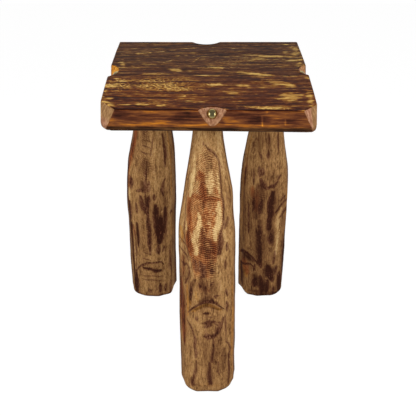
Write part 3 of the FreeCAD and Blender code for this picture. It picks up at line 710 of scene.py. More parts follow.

# Marks on the poles, as degrees round from the front and millimetres up.
# Each mark is its half width, its strength and its points. First the bark that is
# left in thin lines, which all come out wider than they are written.
BARK_SPREAD = 1.45
BARK_LINES = {
    "front": (
        (2.8, 0.95, (-10, 572), (7, 565), (20, 558), (30, 549), (35, 542), (34, 519), (34, 501),
         (35, 485), (34, 473), (36, 460), (38, 441), (37, 424), (38, 411)),
        (3, 0.8, (38, 441), (37, 424), (38, 411), (33, 400), (28, 388)),
        (2, 0.7, (-63, 585), (-66, 560), (-67, 539), (-65, 515), (-65, 492), (-64, 463), (-60, 433),
         (-57, 412), (-53, 381), (-47, 364), (-40, 341)), (1.8, 0.7, (-33, 572), (-32, 572)),
        (2.6, 1, (-16, 574), (-15, 573)), (5, 0.35, (-49, 587), (-44, 580)),
        (5.2, 1.1, (30, 398), (29, 384), (28, 368), (25, 351)),
        (3.5, 0.8, (50, 420), (46, 408), (40, 400)), (3.2, 0.85, (44, 369), (43, 356), (42, 350)),
        (3.2, 0.85, (39, 328), (39, 307)), (2.6, 0.9, (41, 261), (43, 240)),
        (2.6, 0.9, (41, 229), (43, 205)), (2, 0.5, (58, 511), (65, 476), (63, 451)),
        (2, 0.4, (47, 498), (50, 469), (53, 446)),
        (2, 0.8, (-80, 365), (-59, 367), (-47, 361), (-42, 350)),
        (2.4, 0.8, (-80, 340), (-59, 344), (-47, 338), (-41, 328)),
        (2.4, 0.8, (-48, 319), (-39, 312), (-38, 300), (-43, 284), (-52, 269)),
        (3.5, 0.7, (-68, 310), (-50, 316)), (3.5, 0.6, (-26, 333), (-20, 311), (-10, 308)),
        (5, 0.85, (-16, 328), (-10, 315), (-8, 296)), (2.6, 0.8, (-33, 268), (-36, 252), (-36, 238)),
        (2.6, 0.7, (-17, 284), (-18, 278), (-12, 272)), (2, 0.5, (-5, 276), (-3, 263)),
        (1.6, 0.5, (10, 284), (6, 275)), (3.4, 0.7, (10, 315), (10, 303)),
        (1.8, 0.9, (15, 252), (23, 252)), (2.2, 0.9, (18, 250), (17, 249)),
        (2, 0.4, (-68, 250), (-66, 200), (-64, 150)), (2, 0.7, (-56, 240), (-55, 180), (-56, 120)),
        (2.2, 0.85, (-46, 184), (-39, 172), (-31, 156), (-26, 142), (-27, 126), (-24, 109), (-25, 96)),
        (2.8, 0.85, (-24, 88), (-24, 72), (-25, 61), (-29, 46), (-33, 28), (-32, 18)),
        (3, 0.6, (-33, 39), (-31, 24), (-17, 23)), (2.4, 0.9, (-23, 199), (-23, 193)),
        (2.2, 0.8, (-10, 207), (1, 206)), (1.4, 0.6, (-10, 197), (8, 197), (18, 200)),
        (4.5, 0.95, (-10, 184), (-2, 182), (8, 184), (14, 186)),
        (4, 0.9, (-7, 172), (0, 175), (8, 177)),
        (4, 1, (34, 190), (31, 181), (23, 169), (19, 157), (14, 150)),
        (5, 1.1, (-8, 149), (2, 149), (10, 150), (16, 153)), (1.6, 0.7, (31, 181), (20, 184)),
        (1.6, 0.7, (28, 176), (14, 180)), (2.6, 0.95, (12, 141), (12, 122), (10, 102), (9, 84)),
        (4.4, 0.9, (3, 82), (3, 63), (4, 44), (6, 25)), (1.8, 0.7, (22, 86), (21, 65), (21, 52)),
        (2, 0.8, (39, 197), (40, 172), (40, 146), (39, 129)),
        (2.6, 0.9, (39, 129), (49, 118), (54, 101), (49, 89), (48, 68), (49, 44), (46, 15)),
        (1.2, 0.5, (25, 114), (40, 112)), (1.2, 0.5, (26, 98), (42, 90)),
        (1.2, 0.5, (23, 78), (44, 74)), (1.2, 0.5, (24, 56), (44, 52)),
    ),
    "back_left": (
        (1.6, 0.7, (7, 475), (1, 437), (-2, 416)), (3.4, 0.9, (33, 466), (38, 416), (35, 384)),
        (1.3, 1, (-9, 406), (-10, 330), (-11, 261)), (3, 0.9, (-13, 352), (-13, 322)),
        (4.5, 0.9, (-3, 350), (-4, 325)), (3.6, 1, (-33, 322), (-22, 326), (-14, 327)),
        (5.5, 1, (-22, 309), (-19, 285), (-11, 261)), (5, 1, (-2, 310), (-6, 280)),
        (3.6, 1, (-7, 275), (-4, 219), (-3, 175), (-4, 135)), (2.8, 1, (36, 353), (27, 326), (32, 308)),
        (3, 1, (9, 317), (9, 301)), (5.5, 1, (12, 284), (13, 250), (13, 204)),
        (3.6, 1, (35, 272), (36, 235), (35, 197)), (10, 1.1, (25, 243), (24, 205), (22, 172)),
        (5, 0.9, (14, 215), (18, 190)), (4, 1, (17, 166), (17, 137)), (2.2, 0.9, (34, 158), (27, 142)),
        (6.5, 1.1, (-56, 350), (-53, 325)), (6.5, 1.1, (-60, 282), (-58, 232)),
        (5.5, 1.1, (-60, 223), (-56, 199)),
        (3, 1, (-62, 400), (-74, 350), (-68, 300), (-62, 236), (-57, 190), (-54, 120), (-53, 60)),
        (1.8, 0.9, (-47, 200), (-44, 142), (-46, 84)), (3.4, 0.8, (-37, 286), (-35, 255)),
        (4, 1, (-39, 225), (-36, 197), (-37, 156)),
        (2.4, 1.1, (-48, 73), (-37, 90), (-24, 103), (-7, 112), (10, 113), (23, 111), (30, 101)),
        (4, 1.1, (-23, 94), (-3, 91), (5, 84), (21, 86)), (1.2, 0.8, (-23, 142), (-1, 135)),
        (1.2, 0.8, (-22, 124), (0, 120)), (1.4, 0.8, (-40, 68), (29, 68)),
        (1.4, 0.8, (-29, 57), (26, 54)), (6, 1.1, (-45, 65), (-46, 40), (-46, 8)),
        (3.4, 1, (18, 44), (18, 18)), (2.8, 1, (34, 39), (31, 16)), (3, 0.9, (47, 44), (45, 9)),
        (4, 1, (-10, 24), (-6, 16)), (4.2, 0.9, (52, 252), (66, 248)),
        (2.4, 0.9, (55, 158), (49, 140), (50, 94), (56, 66), (52, 36)),
        (1.1, 0.8, (-26, 455), (0, 452)), (1.1, 0.8, (-28, 440), (-2, 438)),
        (1.1, 0.8, (-30, 425), (-4, 423)),
    ),
    "back_right": (
        (3, 0.5, (7, 469), (7, 440), (6, 417)), (4.5, 0.8, (6, 426), (6, 414)),
        (3, 0.7, (40, 473), (38, 416)), (3.4, 0.9, (-21, 423), (-12, 409)),
        (2.2, 1, (-33, 377), (-32, 355), (-31, 338)), (2.6, 0.9, (-60, 376), (-55, 336)),
        (4.2, 1, (-18, 386), (-15, 366)), (3.6, 0.9, (-8, 384), (-9, 367)),
        (4.4, 1.1, (-13, 357), (-8, 345), (-2, 335), (7, 331)), (4.2, 1.1, (7, 335), (22, 337)),
        (2.6, 0.9, (22, 337), (30, 349)), (3.8, 1, (31, 355), (41, 360)),
        (6, 1.1, (17, 320), (15, 300), (13, 281), (12, 239), (13, 214)),
        (2.4, 1, (-43, 283), (-40, 240), (-38, 196)), (3, 1.1, (62, 286), (45, 275), (28, 262)),
        (3, 1.1, (74, 268), (58, 256), (42, 242)), (2.8, 1, (56, 300), (41, 286)),
        (5, 0.7, (-14, 224), (-12, 200), (-10, 170)), (4, 0.9, (-10, 180), (-8, 124), (-4, 96)),
        (5, 0.9, (15, 198), (16, 170)), (4, 0.9, (30, 144), (27, 107)),
        (6, 1.1, (13, 100), (20, 76), (28, 52)), (4.4, 1, (37, 92), (36, 68)),
        (3.2, 1, (-69, 124), (-53, 137), (-38, 130), (-26, 122), (-14, 110)),
        (2.6, 1, (-68, 94), (-52, 97), (-36, 100), (-19, 94)), (5, 0.7, (-52, 130), (-34, 116)),
        (5, 1, (66, 182), (63, 108), (66, 52)), (6, 1.1, (50, 60), (50, 30), (51, 2)),
        (5, 1, (-17, 58), (-19, 34)), (5, 1, (-3, 68), (0, 40), (2, 12)), (4.6, 1, (15, 54), (14, 14)),
        (4, 1, (-64, 88), (-58, 36)), (4, 0.9, (30, 30), (32, 8)), (2.8, 0.9, (-19, 103), (-22, 85)),
        (3, 0.7, (-28, 300), (-30, 262)), (3.6, 0.7, (-8, 300), (-12, 262)),
    ),
}
# One axe chop across the front pole: the height of its crest, its depth, how far
# round it reaches, how far below the crest it is deepest, and where it has run out
CHOP_CREST = 234
CHOP_DEPTH = 2.6
CHOP_SIDES = (34, 46)
CHOP_STEP = 2.5
CHOP_RUN = (4, 70)
# The inner corner of the chop, where bark is left thickest
CHOP_LINE = (
    (2.8, 1.1, (-42, 204), (-33, 216), (-24, 226), (-14, 233), (-4, 236), (6, 236), (16, 233),
     (25, 225), (34, 214)), (4.6, 1.1, (-16, 234), (-5, 238), (6, 238), (18, 234)),
)
# Broader and softer marks of the same kind: red figure, dark inner bark, bare
# cream wood with one painted highlight among it, and amber
FLAME = {
    "front": (
        (9, 1.3, (-44, 470), (-50, 450), (-45, 435), (-37, 420), (-35, 401), (-38, 385), (-35, 366),
         (-34, 346)), (12, 1.1, (-25, 518), (-18, 509), (-12, 498)), (7, 0.8, (-39, 504), (-27, 510)),
        (12, 1, (-18, 506), (-14, 488), (-10, 470), (-6, 450)), (11, 0.7, (12, 490), (24, 478)),
        (14, 1.1, (-4, 448), (-2, 425), (0, 400)), (9, 1.3, (-41, 400), (-40, 380), (-36, 350)),
        (10, 1, (12, 455), (14, 425), (12, 400)), (10, 1, (10, 378), (14, 362), (15, 350)),
        (6, 0.7, (-24, 340), (-26, 318)), (14, 0.5, (-8, 320), (0, 300)),
        (14, 0.9, (-68, 270), (-60, 120)), (9, 0.9, (-45, 470), (-20, 470), (28, 466)),
        (12, 0.4, (-60, 330), (-60, 280)), (12, 0.3, (-20, 280), (0, 262)),
    ),
    "back_left": (
        (7, 0.8, (-59, 352), (-58, 326)),
        (10, 1.3, (-60, 560), (-58, 500), (-58, 468), (-66, 406), (-74, 350), (-62, 240)),
        (12, 0.7, (24, 235), (24, 205), (19, 180)), (7, 0.5, (-50, 215), (-46, 180)),
    ),
    "back_right": (
        (15, 0.5, (-21, 320), (-24, 270)), (13, 0.7, (-50, 110), (-40, 70)),
        (7, 0.5, (-58, 400), (-56, 330)), (9, 0.6, (-33, 330), (-31, 300)),
    ),
}
# The flame's pointed outline on the front pole: height, left and right degrees
FLAME_OUTLINE = (
    (280, -22, 12), (318, -30, 15), (350, -38, 20), (380, -44, 26), (430, -54, 37), (460, -60, 35),
    (505, -50, 34), (538, -42, 33), (559, -24, 18), (574, -12, 0),
)
SHADOW = {
    "front": (
        (9, 0.9, (-18, 500), (-16, 478), (-12, 464), (-12, 450)),
        (9, 0.7, (-25, 518), (-18, 509), (-12, 498)),
        (7, 0.95, (-12, 406), (-9, 389), (-8, 372), (-10, 352)),
        (9, 0.85, (-6, 385), (4, 377), (12, 365), (14, 352)), (8, 0.7, (-12, 350), (0, 345), (14, 342)),
        (7, 0.7, (-42, 400), (-40, 360)), (9, 0.35, (30, 398), (26, 352)),
        (5, 0.7, (37, 450), (37, 420)), (6, 0.4, (-30, 468), (-30, 462)), (8, 0.8, (6, 330), (8, 310)),
        (7, 0.6, (10, 345), (8, 327), (9, 308)),
        (6, 0.5, (-44, 466), (-49, 448), (-40, 424), (-36, 400)), (5, 0.5, (-37, 385), (-34, 350)),
        (14, 0.35, (-60, 330), (-62, 300), (-58, 275)), (8, 0.9, (-70, 290), (-72, 200)),
        (14, 0.45, (-65, 257), (-63, 234), (-61, 210), (-62, 184), (-58, 161), (-57, 136), (-56, 111)),
        (9, 0.4, (-5, 184), (4, 180)), (6, 0.35, (44, 440), (46, 380)), (8, 0.4, (4, 70), (4, 20)),
        (7, 0.4, (-30, 50), (-32, 20)), (5, 0.35, (49, 118), (50, 30)),
        (7, 0.7, (-16, 238), (2, 248), (14, 240)), (5, 0.8, (-24, 217), (-8, 225), (8, 225), (24, 216)),
        (6, 1, (-24, 291), (-31, 275), (-36, 258), (-36, 238)),
        (8, 0.75, (-14, 296), (-12, 284), (-8, 270), (-3, 256)),
        (6, 0.6, (14, 288), (10, 275), (6, 258)), (5, 0.5, (-2, 290), (0, 262)),
        (12, 0.4, (-8, 556), (4, 545), (10, 530)),
        (4, 0.6, (-28, 216), (-14, 227), (2, 230), (14, 226), (30, 212)),
        (8, 0.5, (-45, 470), (-28, 468), (0, 470), (30, 466)),
        (10, 0.9, (-14, 362), (0, 358), (14, 354)), (6, 0.7, (60, 480), (60, 440)),
        (5, 0.9, (-40, 245), (-37, 228)), (6, 0.7, (-10, 206), (4, 206)),
        (10, 0.4, (-2, 140), (-4, 90)), (9, 0.55, (34, 115), (34, 60)),
        (8, 0.5, (-38, 470), (-44, 440)), (8, 0.7, (-33, 42), (-30, 22)), (6, 0.4, (4, 120), (4, 60)),
    ),
    "back_left": (
        (15, 0.4, (-26, 560), (-24, 500), (-18, 450)), (17, 0.8, (-12, 410), (-9, 385), (-9, 368)),
        (7, 0.5, (-20, 360), (-2, 356)), (6, 0.7, (-20, 352), (-16, 322)),
        (14, 0.7, (-8, 312), (-9, 262)), (8, 0.6, (-6, 262), (-4, 200), (-4, 150)),
        (15, 0.9, (24, 250), (24, 205), (20, 172)), (9, 0.8, (10, 290), (14, 240)),
        (7, 0.8, (-74, 380), (-70, 300), (-62, 230), (-58, 120), (-54, 40)),
        (7, 0.6, (-38, 225), (-36, 150)), (6, 0.5, (36, 300), (36, 200)), (9, 0.7, (-20, 96), (24, 84)),
        (10, 0.9, (-47, 72), (-46, 10)), (5, 0.6, (60, 150), (54, 40)), (7, 0.5, (34, 470), (38, 390)),
        (12, 0.4, (18, 60), (20, 10)),
    ),
    "back_right": (
        (16, 0.5, (-27, 476), (-21, 426)), (9, 0.6, (8, 470), (6, 420)), (9, 0.5, (40, 480), (38, 420)),
        (22, 0.85, (-17, 336), (-18, 300), (-18, 250)), (14, 0.8, (-12, 240), (-10, 170), (-8, 110)),
        (11, 0.8, (17, 320), (13, 260), (14, 200)),
        (9, 0.6, (-58, 430), (-56, 350), (-56, 250), (-54, 170)), (14, 0.8, (-58, 130), (-30, 112)),
        (16, 0.9, (14, 100), (24, 60)), (12, 0.8, (66, 190), (64, 60)), (12, 0.9, (50, 66), (50, 4)),
        (18, 0.8, (-18, 66), (10, 20)), (12, 0.7, (-62, 90), (-50, 30)), (9, 0.7, (20, 210), (22, 165)),
        (10, 0.7, (-30, 20), (40, 8)),
    ),
}
CREAM_AND_HIGHLIGHT = {
    "front": (
        (9, 1.5, (-46, 544), (-44, 530), (-44, 520), (-46, 497), (-47, 481), (-48, 468)),
        (13, 1.3, (8, 520), (4, 505), (6, 485)), (6, 0.9, (24, 520), (26, 480)),
        (10, 0.6, (0, 432), (2, 415)),
        (6.5, 1.6, (-21, 438), (-17, 426), (-17, 414), (-21, 400), (-23, 384), (-23, 367), (-23, 347)),
        (8, 1.6, (24, 459), (25, 442), (26, 425), (21, 407), (18, 392), (16, 380)),
        (2.6, 1, (-50, 411), (-47, 386)), (2.4, 0.8, (-70, 555), (-69, 524), (-71, 490), (-73, 464)),
        # The first mark on the next line, the pale line up the right of the neck, is a painted highlight
        # on a facet's edge
        (2.2, 0.6, (58, 592), (53, 569), (49, 544)), (8, 0.5, (24, 345), (24, 300), (26, 260)),
        (1.8, 0.9, (-40, 337), (-36, 322), (-34, 309), (-38, 293), (-46, 275)),
        (5, 0.4, (-28, 262), (-22, 236)), (4, 0.8, (-6, 432), (-3, 431)),
        (7, 1.5, (-23, 404), (-25, 384), (-24, 366)),
    ),
    "back_left": (
        (6, 1.2, (-59, 318), (-58, 288)), (5, 0.6, (-50, 262), (-49, 225)),
        (5, 0.7, (26, 264), (26, 256)), (5, 0.6, (50, 540), (50, 440), (52, 350)),
        (5, 0.8, (-50, 150), (-52, 90)), (5, 0.5, (40, 240), (44, 180)),
        (8, 0.4, (-40, 420), (-44, 340)), (8, 0.4, (8, 400), (10, 350)), (12, 0.4, (0, 100), (6, 98)),
        (6, 0.4, (-28, 270), (-26, 220)), (6, 0.3, (16, 150), (-24, 150)),
    ),
    "back_right": (
        (10, 1.4, (45, 262), (34, 240), (34, 214)), (8, 1.4, (38, 214), (37, 190), (36, 165)),
        (5, 1.3, (35, 165), (34, 130)), (7, 0.6, (44, 340), (40, 300)), (12, 0.5, (26, 420), (32, 370)),
        (6, 0.5, (-34, 470), (-36, 410)), (5, 0.4, (-38, 230), (-36, 150)),
        (8, 0.4, (2, 400), (10, 372)), (5, 0.4, (50, 420), (54, 340)),
    ),
}
AMBER = {
    "front": (
        (8, 1.1, (-72, 391), (-62, 381), (-63, 365)),
        (5, 1, (-34, 208), (-22, 219), (-9, 227), (6, 227), (16, 224), (28, 212)),
        (7, 0.7, (60, 300), (60, 40)), (6, 0.8, (-40, 240), (-37, 225)),
        (4, 0.9, (-45, 269), (-45, 249), (-44, 230), (-43, 206), (-44, 195)),
        (6, 0.5, (-24, 262), (-20, 240)), (6, 0.4, (66, 300), (66, 60)), (8, 0.4, (-20, 25), (20, 20)),
    ),
    "back_left": (
        (7, 0.7, (50, 520), (56, 400), (58, 300)), (6, 0.6, (60, 240), (62, 120)),
        (9, 0.4, (-40, 60), (-30, 40)),
    ),
    "back_right": (
        (7, 0.6, (-52, 480), (-60, 400), (-62, 300), (-60, 180)), (12, 0.7, (-52, 92), (-40, 60)),
        (6, 0.5, (66, 320), (68, 200)), (8, 0.4, (-20, 450), (-22, 400)),
    ),
}
# Where close ripples cross the grain: degrees, height, half width, half height, tilt, strength
RIPPLE_DABS = {
    "front": (
        (2, 534, 22, 16, 0, 0.9), (-14, 504, 20, 18, 0, 0.9), (10, 488, 20, 16, 0, 1),
        (0, 450, 20, 30, 0, 1.1), (3, 410, 16, 30, 0, 1.3), (0, 370, 16, 24, 0, 1),
        (9, 322, 8, 36, 0, 1.3),
    ),
    "back_left": (
        (-22, 470, 16, 36, 0, 0.5), (-9, 270, 12, 50, 0, 0.5), (-12, 225, 14, 30, 0, 0.5),
        (-12, 400, 26, 60, 0, 0.5),
    ),
    "back_right": (
        (-12, 290, 24, 50, 0, 0.3), (-10, 180, 16, 70, 0, 0.3), (38, 200, 14, 60, 0, 0.5),
        (10, 70, 30, 40, 0, 0.4),
    ),
}
# Deeper cuts: degrees, height, half width, half height, tilt, millimetres
HOLLOWS = {
    "front": ((62, 428, 26, 22, 0, 1.6), (-62, 310, 20, 30, 0, 1.4), (0, 160, 24, 26, 0, 1)),
    "back_left": ((0, 80, 34, 16, 0, 1.4), (60, 250, 12, 14, 0, 2), (24, 205, 16, 34, 0, 1.2)),
    "back_right": ((-50, 120, 20, 20, 0, 1.6), (50, 270, 22, 18, 0, 1.4), (20, 70, 26, 24, 0, 1.2)),
}
# Hewn flats at the foot: degrees, height where the cut starts, depth at the floor
FOOT_CUTS = {
    "front": ((-66, 16, 1.5), (60, 18, 3), (150, 24, 8)),
    "back_left": ((74, 24, 8), (-130, 26, 9)),
    "back_right": ((-62, 24, 8), (120, 24, 8)),
}
# How far each foot's edge is rounded inwards, and how high up that starts
FOOT_ROUNDS = {"front": (9, 16), "back_left": (4, 9), "back_right": (5, 11)}
# How much lighter or darker each pole is than the middle tone, low down and high up
# The back poles are darker partly as painted shade, for standing at the back under the slab
POLE_TONE = {"front": (-0.07, 0.03), "back_left": (-0.1, -0.08), "back_right": (-0.155, -0.055)}


def polygon_reach(turn, height, corners, seed):
    """How far a hewn section reaches at each angle, as a share of the pole's radius.
    Each flat is a line; the section is their soft nearest, by a sum of high powers
    of the cosine over the flat's distance. The flats drift a little with height."""
    angles, shares = np.array(corners, float).T
    turned = np.radians(angles + 90)
    corner = shares[:, None] * np.stack([np.cos(turned), np.sin(turned)], axis=-1)
    run = np.roll(corner, -1, axis=0) - corner
    normal = np.stack([run[:, 1], -run[:, 0]], axis=-1) / np.hypot(run[:, 0], run[:, 1])[:, None]
    distance = (corner * normal).sum(axis=-1)
    facing = np.arctan2(normal[:, 1], normal[:, 0])
    total = 0
    for flat, (angle, away) in enumerate(zip(facing, distance)):
        sway = hills(height / 130, 0 * height + 3 * flat, seed=seed + 5, octaves=2) - 0.5
        lift = hills(height / 90, 0 * height + 3 * flat, seed=seed + 9, octaves=2) - 0.5
        toward = np.maximum(np.cos(turn - angle - 0.22 * sway), 0)
        total = total + (toward / (away * (1 + 0.03 * lift))) ** FLAT_SHARPNESS
    return total ** (-1 / FLAT_SHARPNESS)


def outline_at(heights, outline):
    """The left and right reach at each height: straight between the given heights,
    then averaged over a few centimetres so that no corner shows."""
    given = np.array(sorted(outline))
    window = np.linspace(-14, 14, 9)
    around = np.clip(heights[..., None] + window, given[0, 0], given[-1, 0])
    left = np.interp(around, given[:, 0], given[:, 1]).mean(axis=-1)
    right = np.interp(around, given[:, 0], given[:, 2]).mean(axis=-1)
    return left, right


def far_side_marks(seed):
    """The far side carries bark lines of the same kind, placed at random."""
    draw = np.random.default_rng(seed)
    marks = []
    for _ in range(FAR_MARKS):
        start_turn = draw.uniform(82, 278)
        start_height, run = draw.uniform(15, 540), draw.uniform(10, 70)
        sway, width = draw.uniform(-8, 8), draw.uniform(1.2, 4.2)
        marks.append((width, 0.9, (start_turn, start_height), (start_turn + sway, start_height + run)))
    return marks


def closed_faces(rows, columns):
    """The faces of closed rings of points, each under the one before, with a point
    over the first and another below the last, which come after the rings' points."""
    rings = np.arange(rows * columns).reshape(rows, columns)
    over, under = rows * columns, rows * columns + 1
    return walls(rings) + fan(rings[0], over, below=False) + fan(rings[-1], under, below=True)


def whole(values):
    """A field of the pole's side, carried on over the tenon as 0 and over the sole
    as it is at the foot's edge."""
    sole = np.repeat(values[-1:], SOLE_ROWS, axis=0)
    rows = np.concatenate([np.zeros((len(TENON), COLUMNS)), values, sole])
    return np.concatenate([rows.ravel(), [0, 0]])


POLES = {}
for name, leg in LEGS.items():
    seed = leg["seed"]
    pole_down = np.linspace(SHOULDER, FOOT_HEIGHT, POLE_ROWS)
    foot_down = np.linspace(FOOT_HEIGHT, 0, FOOT_ROWS + 1)[1:]
    turn = np.linspace(-math.pi, math.pi, COLUMNS, endpoint=False)
    angle, height = np.meshgrid(turn, np.concatenate([pole_down, foot_down]))
    degrees = np.degrees(angle)
    around = angle / (2 * math.pi) + 0.5
    left, right = outline_at(height, leg["outline"])
    middle_x, half = (left + right) / 2, (right - left) / 2
    shoulder_x, shoulder_y = leg["shoulder"]
    axis_y = shoulder_y + (leg["foot_y"] - shoulder_y) * (SHOULDER - height) / SHOULDER
    reach = half * polygon_reach(angle, height, leg["corners"], seed)
    swell = hills(around * 10, height / 55, seed=seed + 20, wrap=10) - 0.5
    tooled = hills(around * 40, height / 26, seed=seed + 30, wrap=40) - 0.5
    reach += SWELL * swell * ease(height, -1, 40) + TOOL_MARKS * tooled

    # No mark runs quite true: the places of all of them wander by a few millimetres
    drift = hills(around * 24, height / 34, seed=seed + 40, octaves=4, wrap=24) - 0.5
    shake = hills(around * 70, height / 9, seed=seed + 45, wrap=70) - 0.5
    marked_turn = degrees + 4 * drift + 1.4 * shake
    marked_height = height + 8 * drift - 3 * shake
    bark_lines = [(BARK_SPREAD * half_width, *rest) for half_width, *rest in BARK_LINES[name]]
    bark = strokes(marked_turn, marked_height, bark_lines)
    if name == "front":
        bark = np.maximum(bark, strokes(degrees + 2 * shake, height + 3 * shake, CHOP_LINE))
    bark = np.maximum(bark, strokes(marked_turn % 360, marked_height, far_side_marks(seed + 50)))
    reach -= dabs(degrees, height, HOLLOWS[name]) + BARK_DEPTH * bark
    if name == "front":
        # The chop is an arched step that runs out downward
        below = CHOP_CREST - 0.0095 * degrees ** 2 - 5.5e-6 * degrees ** 4 - height
        in_chop = 1 - ease(np.abs(degrees), *CHOP_SIDES)
        reach -= CHOP_DEPTH * in_chop * ease(below, 0, CHOP_STEP) * (1 - ease(below, *CHOP_RUN))

    # The foot: hewn flats, a bulge at both sides of the front, a rounded edge
    for at_degrees, cut_height, cut_depth in FOOT_CUTS[name]:
        plane = half - cut_depth * np.maximum(1 - height / cut_height, 0)
        cosine = np.maximum(np.cos(angle - math.radians(at_degrees)), 1e-3)
        reach = np.where(height < cut_height, np.minimum(reach, plane / cosine), reach)
    foot_round, foot_rise = FOOT_ROUNDS[name]
    rounding = foot_round * (1 - np.sqrt(1 - np.maximum(1 - height / foot_rise, 0) ** 2))
    bulge = FOOT_BULGE * ease(height, 80, 20) * np.exp(-((np.abs(degrees) - 44) / 16) ** 2)
    near_top = ease(height, SHOULDER - 14, SHOULDER)
    reach = (reach + bulge - rounding) * (1 - near_top) + (half - 0.4) * near_top
    x = middle_x + reach * np.sin(angle)
    y = np.clip(axis_y - reach * np.cos(angle), cad_low.y / MM + 0.1, cad_high.y / MM - 0.1)

    # The tenon over the shoulder, and the sole under the foot
    radius, level = np.array(TENON).T[..., None]
    inwards = np.linspace(1, 0, SOLE_ROWS + 2)[1:-1, None]
    sole_x = middle_x[-1] + (x[-1] - middle_x[-1]) * inwards
    sole_y = axis_y[-1] + (y[-1] - axis_y[-1]) * inwards
    all_x = np.concatenate([shoulder_x + radius * np.sin(turn), x, sole_x])
    all_y = np.concatenate([shoulder_y - radius * np.cos(turn), y, sole_y])
    all_z = np.concatenate([level + 0 * turn, height, 0 * sole_x])
    ends = [(shoulder_x, shoulder_y, TENON_TOP), (middle_x[-1, 0], axis_y[-1, 0], 0.0)]
    points = np.concatenate([np.stack([all_x, all_y, all_z], axis=-1).reshape(-1, 3), ends])

    far_side = ease(np.abs(degrees), 75, 95)
    cloudy = hills(around * 14, height / 60, seed=seed + 60, wrap=14)
    shadow = strokes(marked_turn, marked_height, SHADOW[name])
    shadow += 0.8 * far_side * ease(cloudy, 0.5, 0.75)
    # Both flanks are painted dark: painted shade where the pole turns away from the front, laid as a
    # band of inner bark
    seam = np.exp(-((np.abs(degrees) - 90 - 6 * drift) / 13) ** 2)
    # The foot's lowest 14 mm is painted darker: painted shade where it meets the floor, and grime
    shadow = np.maximum(shadow, 1.2 * seam) + 0.7 * ease(height, 14, 2)
    flame = strokes(marked_turn, marked_height, FLAME[name])
    rippled = dabs(degrees, height, RIPPLE_DABS[name])
    if name == "front":
        # Inside the pointed outline of the flame the whole wood is redder
        bounds = np.array(FLAME_OUTLINE, float)
        left_side = np.interp(marked_height, bounds[:, 0], bounds[:, 1])
        right_side = np.interp(marked_height, bounds[:, 0], bounds[:, 2])
        inside = ease(marked_turn - left_side, -4, 4) * ease(right_side - marked_turn, -4, 4)
        inside *= ease(marked_height, 275, 320) * ease(marked_height, 578, 562)
        redder = 0.24 + 0.36 * ease(marked_height, 485, 455)
        flame, rippled = np.maximum(flame, redder * inside), np.maximum(rippled, 0.8 * inside)
    # The ripples follow each other in flat arches, and waver
    arched = height + 0.012 * (degrees - 4) ** 2
    waver = hills(around * 36, height / 16, seed=seed + 70, wrap=36)
    amber = strokes(marked_turn, marked_height, AMBER[name])
    low_tone, high_tone = POLE_TONE[name]
    POLES[name] = put_mesh(f"pole_{name}", points, closed_faces(len(all_x), COLUMNS), {
        "bark": whole(bark),
        "shadow": whole(shadow),
        "red_figure": whole(flame),
        "cream": whole(strokes(marked_turn, marked_height, CREAM_AND_HIGHLIGHT[name])),
        "amber": whole(amber + 0.6 * far_side * ease(cloudy, 0.3, 0.1)),
        "rippled": whole(rippled),
        "ripple_count": whole(arched / RIPPLE_SPACING + 1.8 * waver),
        "pole_tone": whole(low_tone + (high_tone - low_tone) * ease(height, 300, 430)),
    })


def peeled_pole():
    """Peeled and oiled hickory. One tone, from the grain up the pole and the marks,
    picks a place on runs of plain, flame-red and amber colour; dark inner bark lies
    over them in the hollows, and close ripples cross the flame."""
    material, start = new_material("peeled_hickory")
    broad = grain(start, 36, 36, 5)
    streaks = grain(start, 210, 210, 22, detail=4, roughness=0.62)
    fine = grain(start, 700, 700, 90, detail=3)
    blotch = grain(start, 66, 66, 30, detail=4, roughness=0.6)
    crumble = grain(start, 240, 240, 150, detail=4, roughness=0.75)
    pores = ramp(grain(start, 380, 380, 16, detail=2), 0.06, 0.18)
    wave = sine(field(start, "ripple_count") * (2 * math.pi)) * field(start, "rippled")

    # The marks' edges are broken up by the grain
    ragged = crumble * 2.2 + streaks * 1.2
    cream = ramp(field(start, "cream") + ragged + blotch * 0.9 - wave * 0.2, 0.2, 1.2)
    dark_edge = blotch * 1.4 + ragged * 0.8 + streaks * 0.8 + wave * 0.24
    shadow = ramp(field(start, "shadow") + dark_edge, 0.12, 0.9)
    red_edge = blotch * 0.9 + ragged * 0.5 + wave * 0.27
    flame = ramp(field(start, "red_figure") + red_edge, 0.05, 0.85) * (1 - cream)
    amber = ramp(field(start, "amber") + streaks * 1.4, 0.2, 0.9)
    bark = ramp(field(start, "bark") + ragged * 1.1 + streaks + blotch * 0.9, 0.16, 0.72)

    tone = 0.625 + field(start, "pole_tone") + broad * 0.6 + streaks * 0.7 + fine * 0.6
    tone = tone + blotch * 0.6 + crumble * 0.9 + cream * 0.22 + bark * ragged * 0.4
    tone = tone - shadow * 0.3 - flame * 0.1 - wave * 0.085 - bark * 0.26 - pores * 0.16
    plain = tinted(tone, (0.05, 52, 30, 21), (0.28, 92, 59, 37), (0.48, 130, 93, 57),
                   (0.68, 168, 128, 80), (0.95, 212, 180, 126))
    red = tinted(tone, (0.05, 52, 24, 16), (0.28, 92, 47, 28), (0.48, 137, 76, 41),
                 (0.68, 175, 112, 63), (0.92, 212, 168, 108))
    yellow = tinted(tone, (0.05, 62, 36, 20), (0.28, 100, 66, 31), (0.48, 140, 93, 46),
                    (0.68, 174, 123, 60), (0.92, 216, 172, 100))
    plum = tinted(tone, (0.05, 54, 28, 20), (0.28, 88, 52, 36), (0.48, 116, 78, 54), (0.7, 142, 104, 74))
    wood = mixed(bark * 0.8, mixed(flame, mixed(amber, plain, yellow), red), plum)
    height = streaks * 0.5 + fine * 0.25 - bark * 0.5 + wave * 0.3 + blotch * 0.3
    roughness = 0.5 + bark * 0.15 + streaks * 0.15
    return finish(start, material, wood, roughness, height, 0.0007, specular=0.004)


pole_wood = peeled_pole()
for name, pole in POLES.items():
    pole.data.materials.append(pole_wood)
    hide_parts(f"leg_{name}")


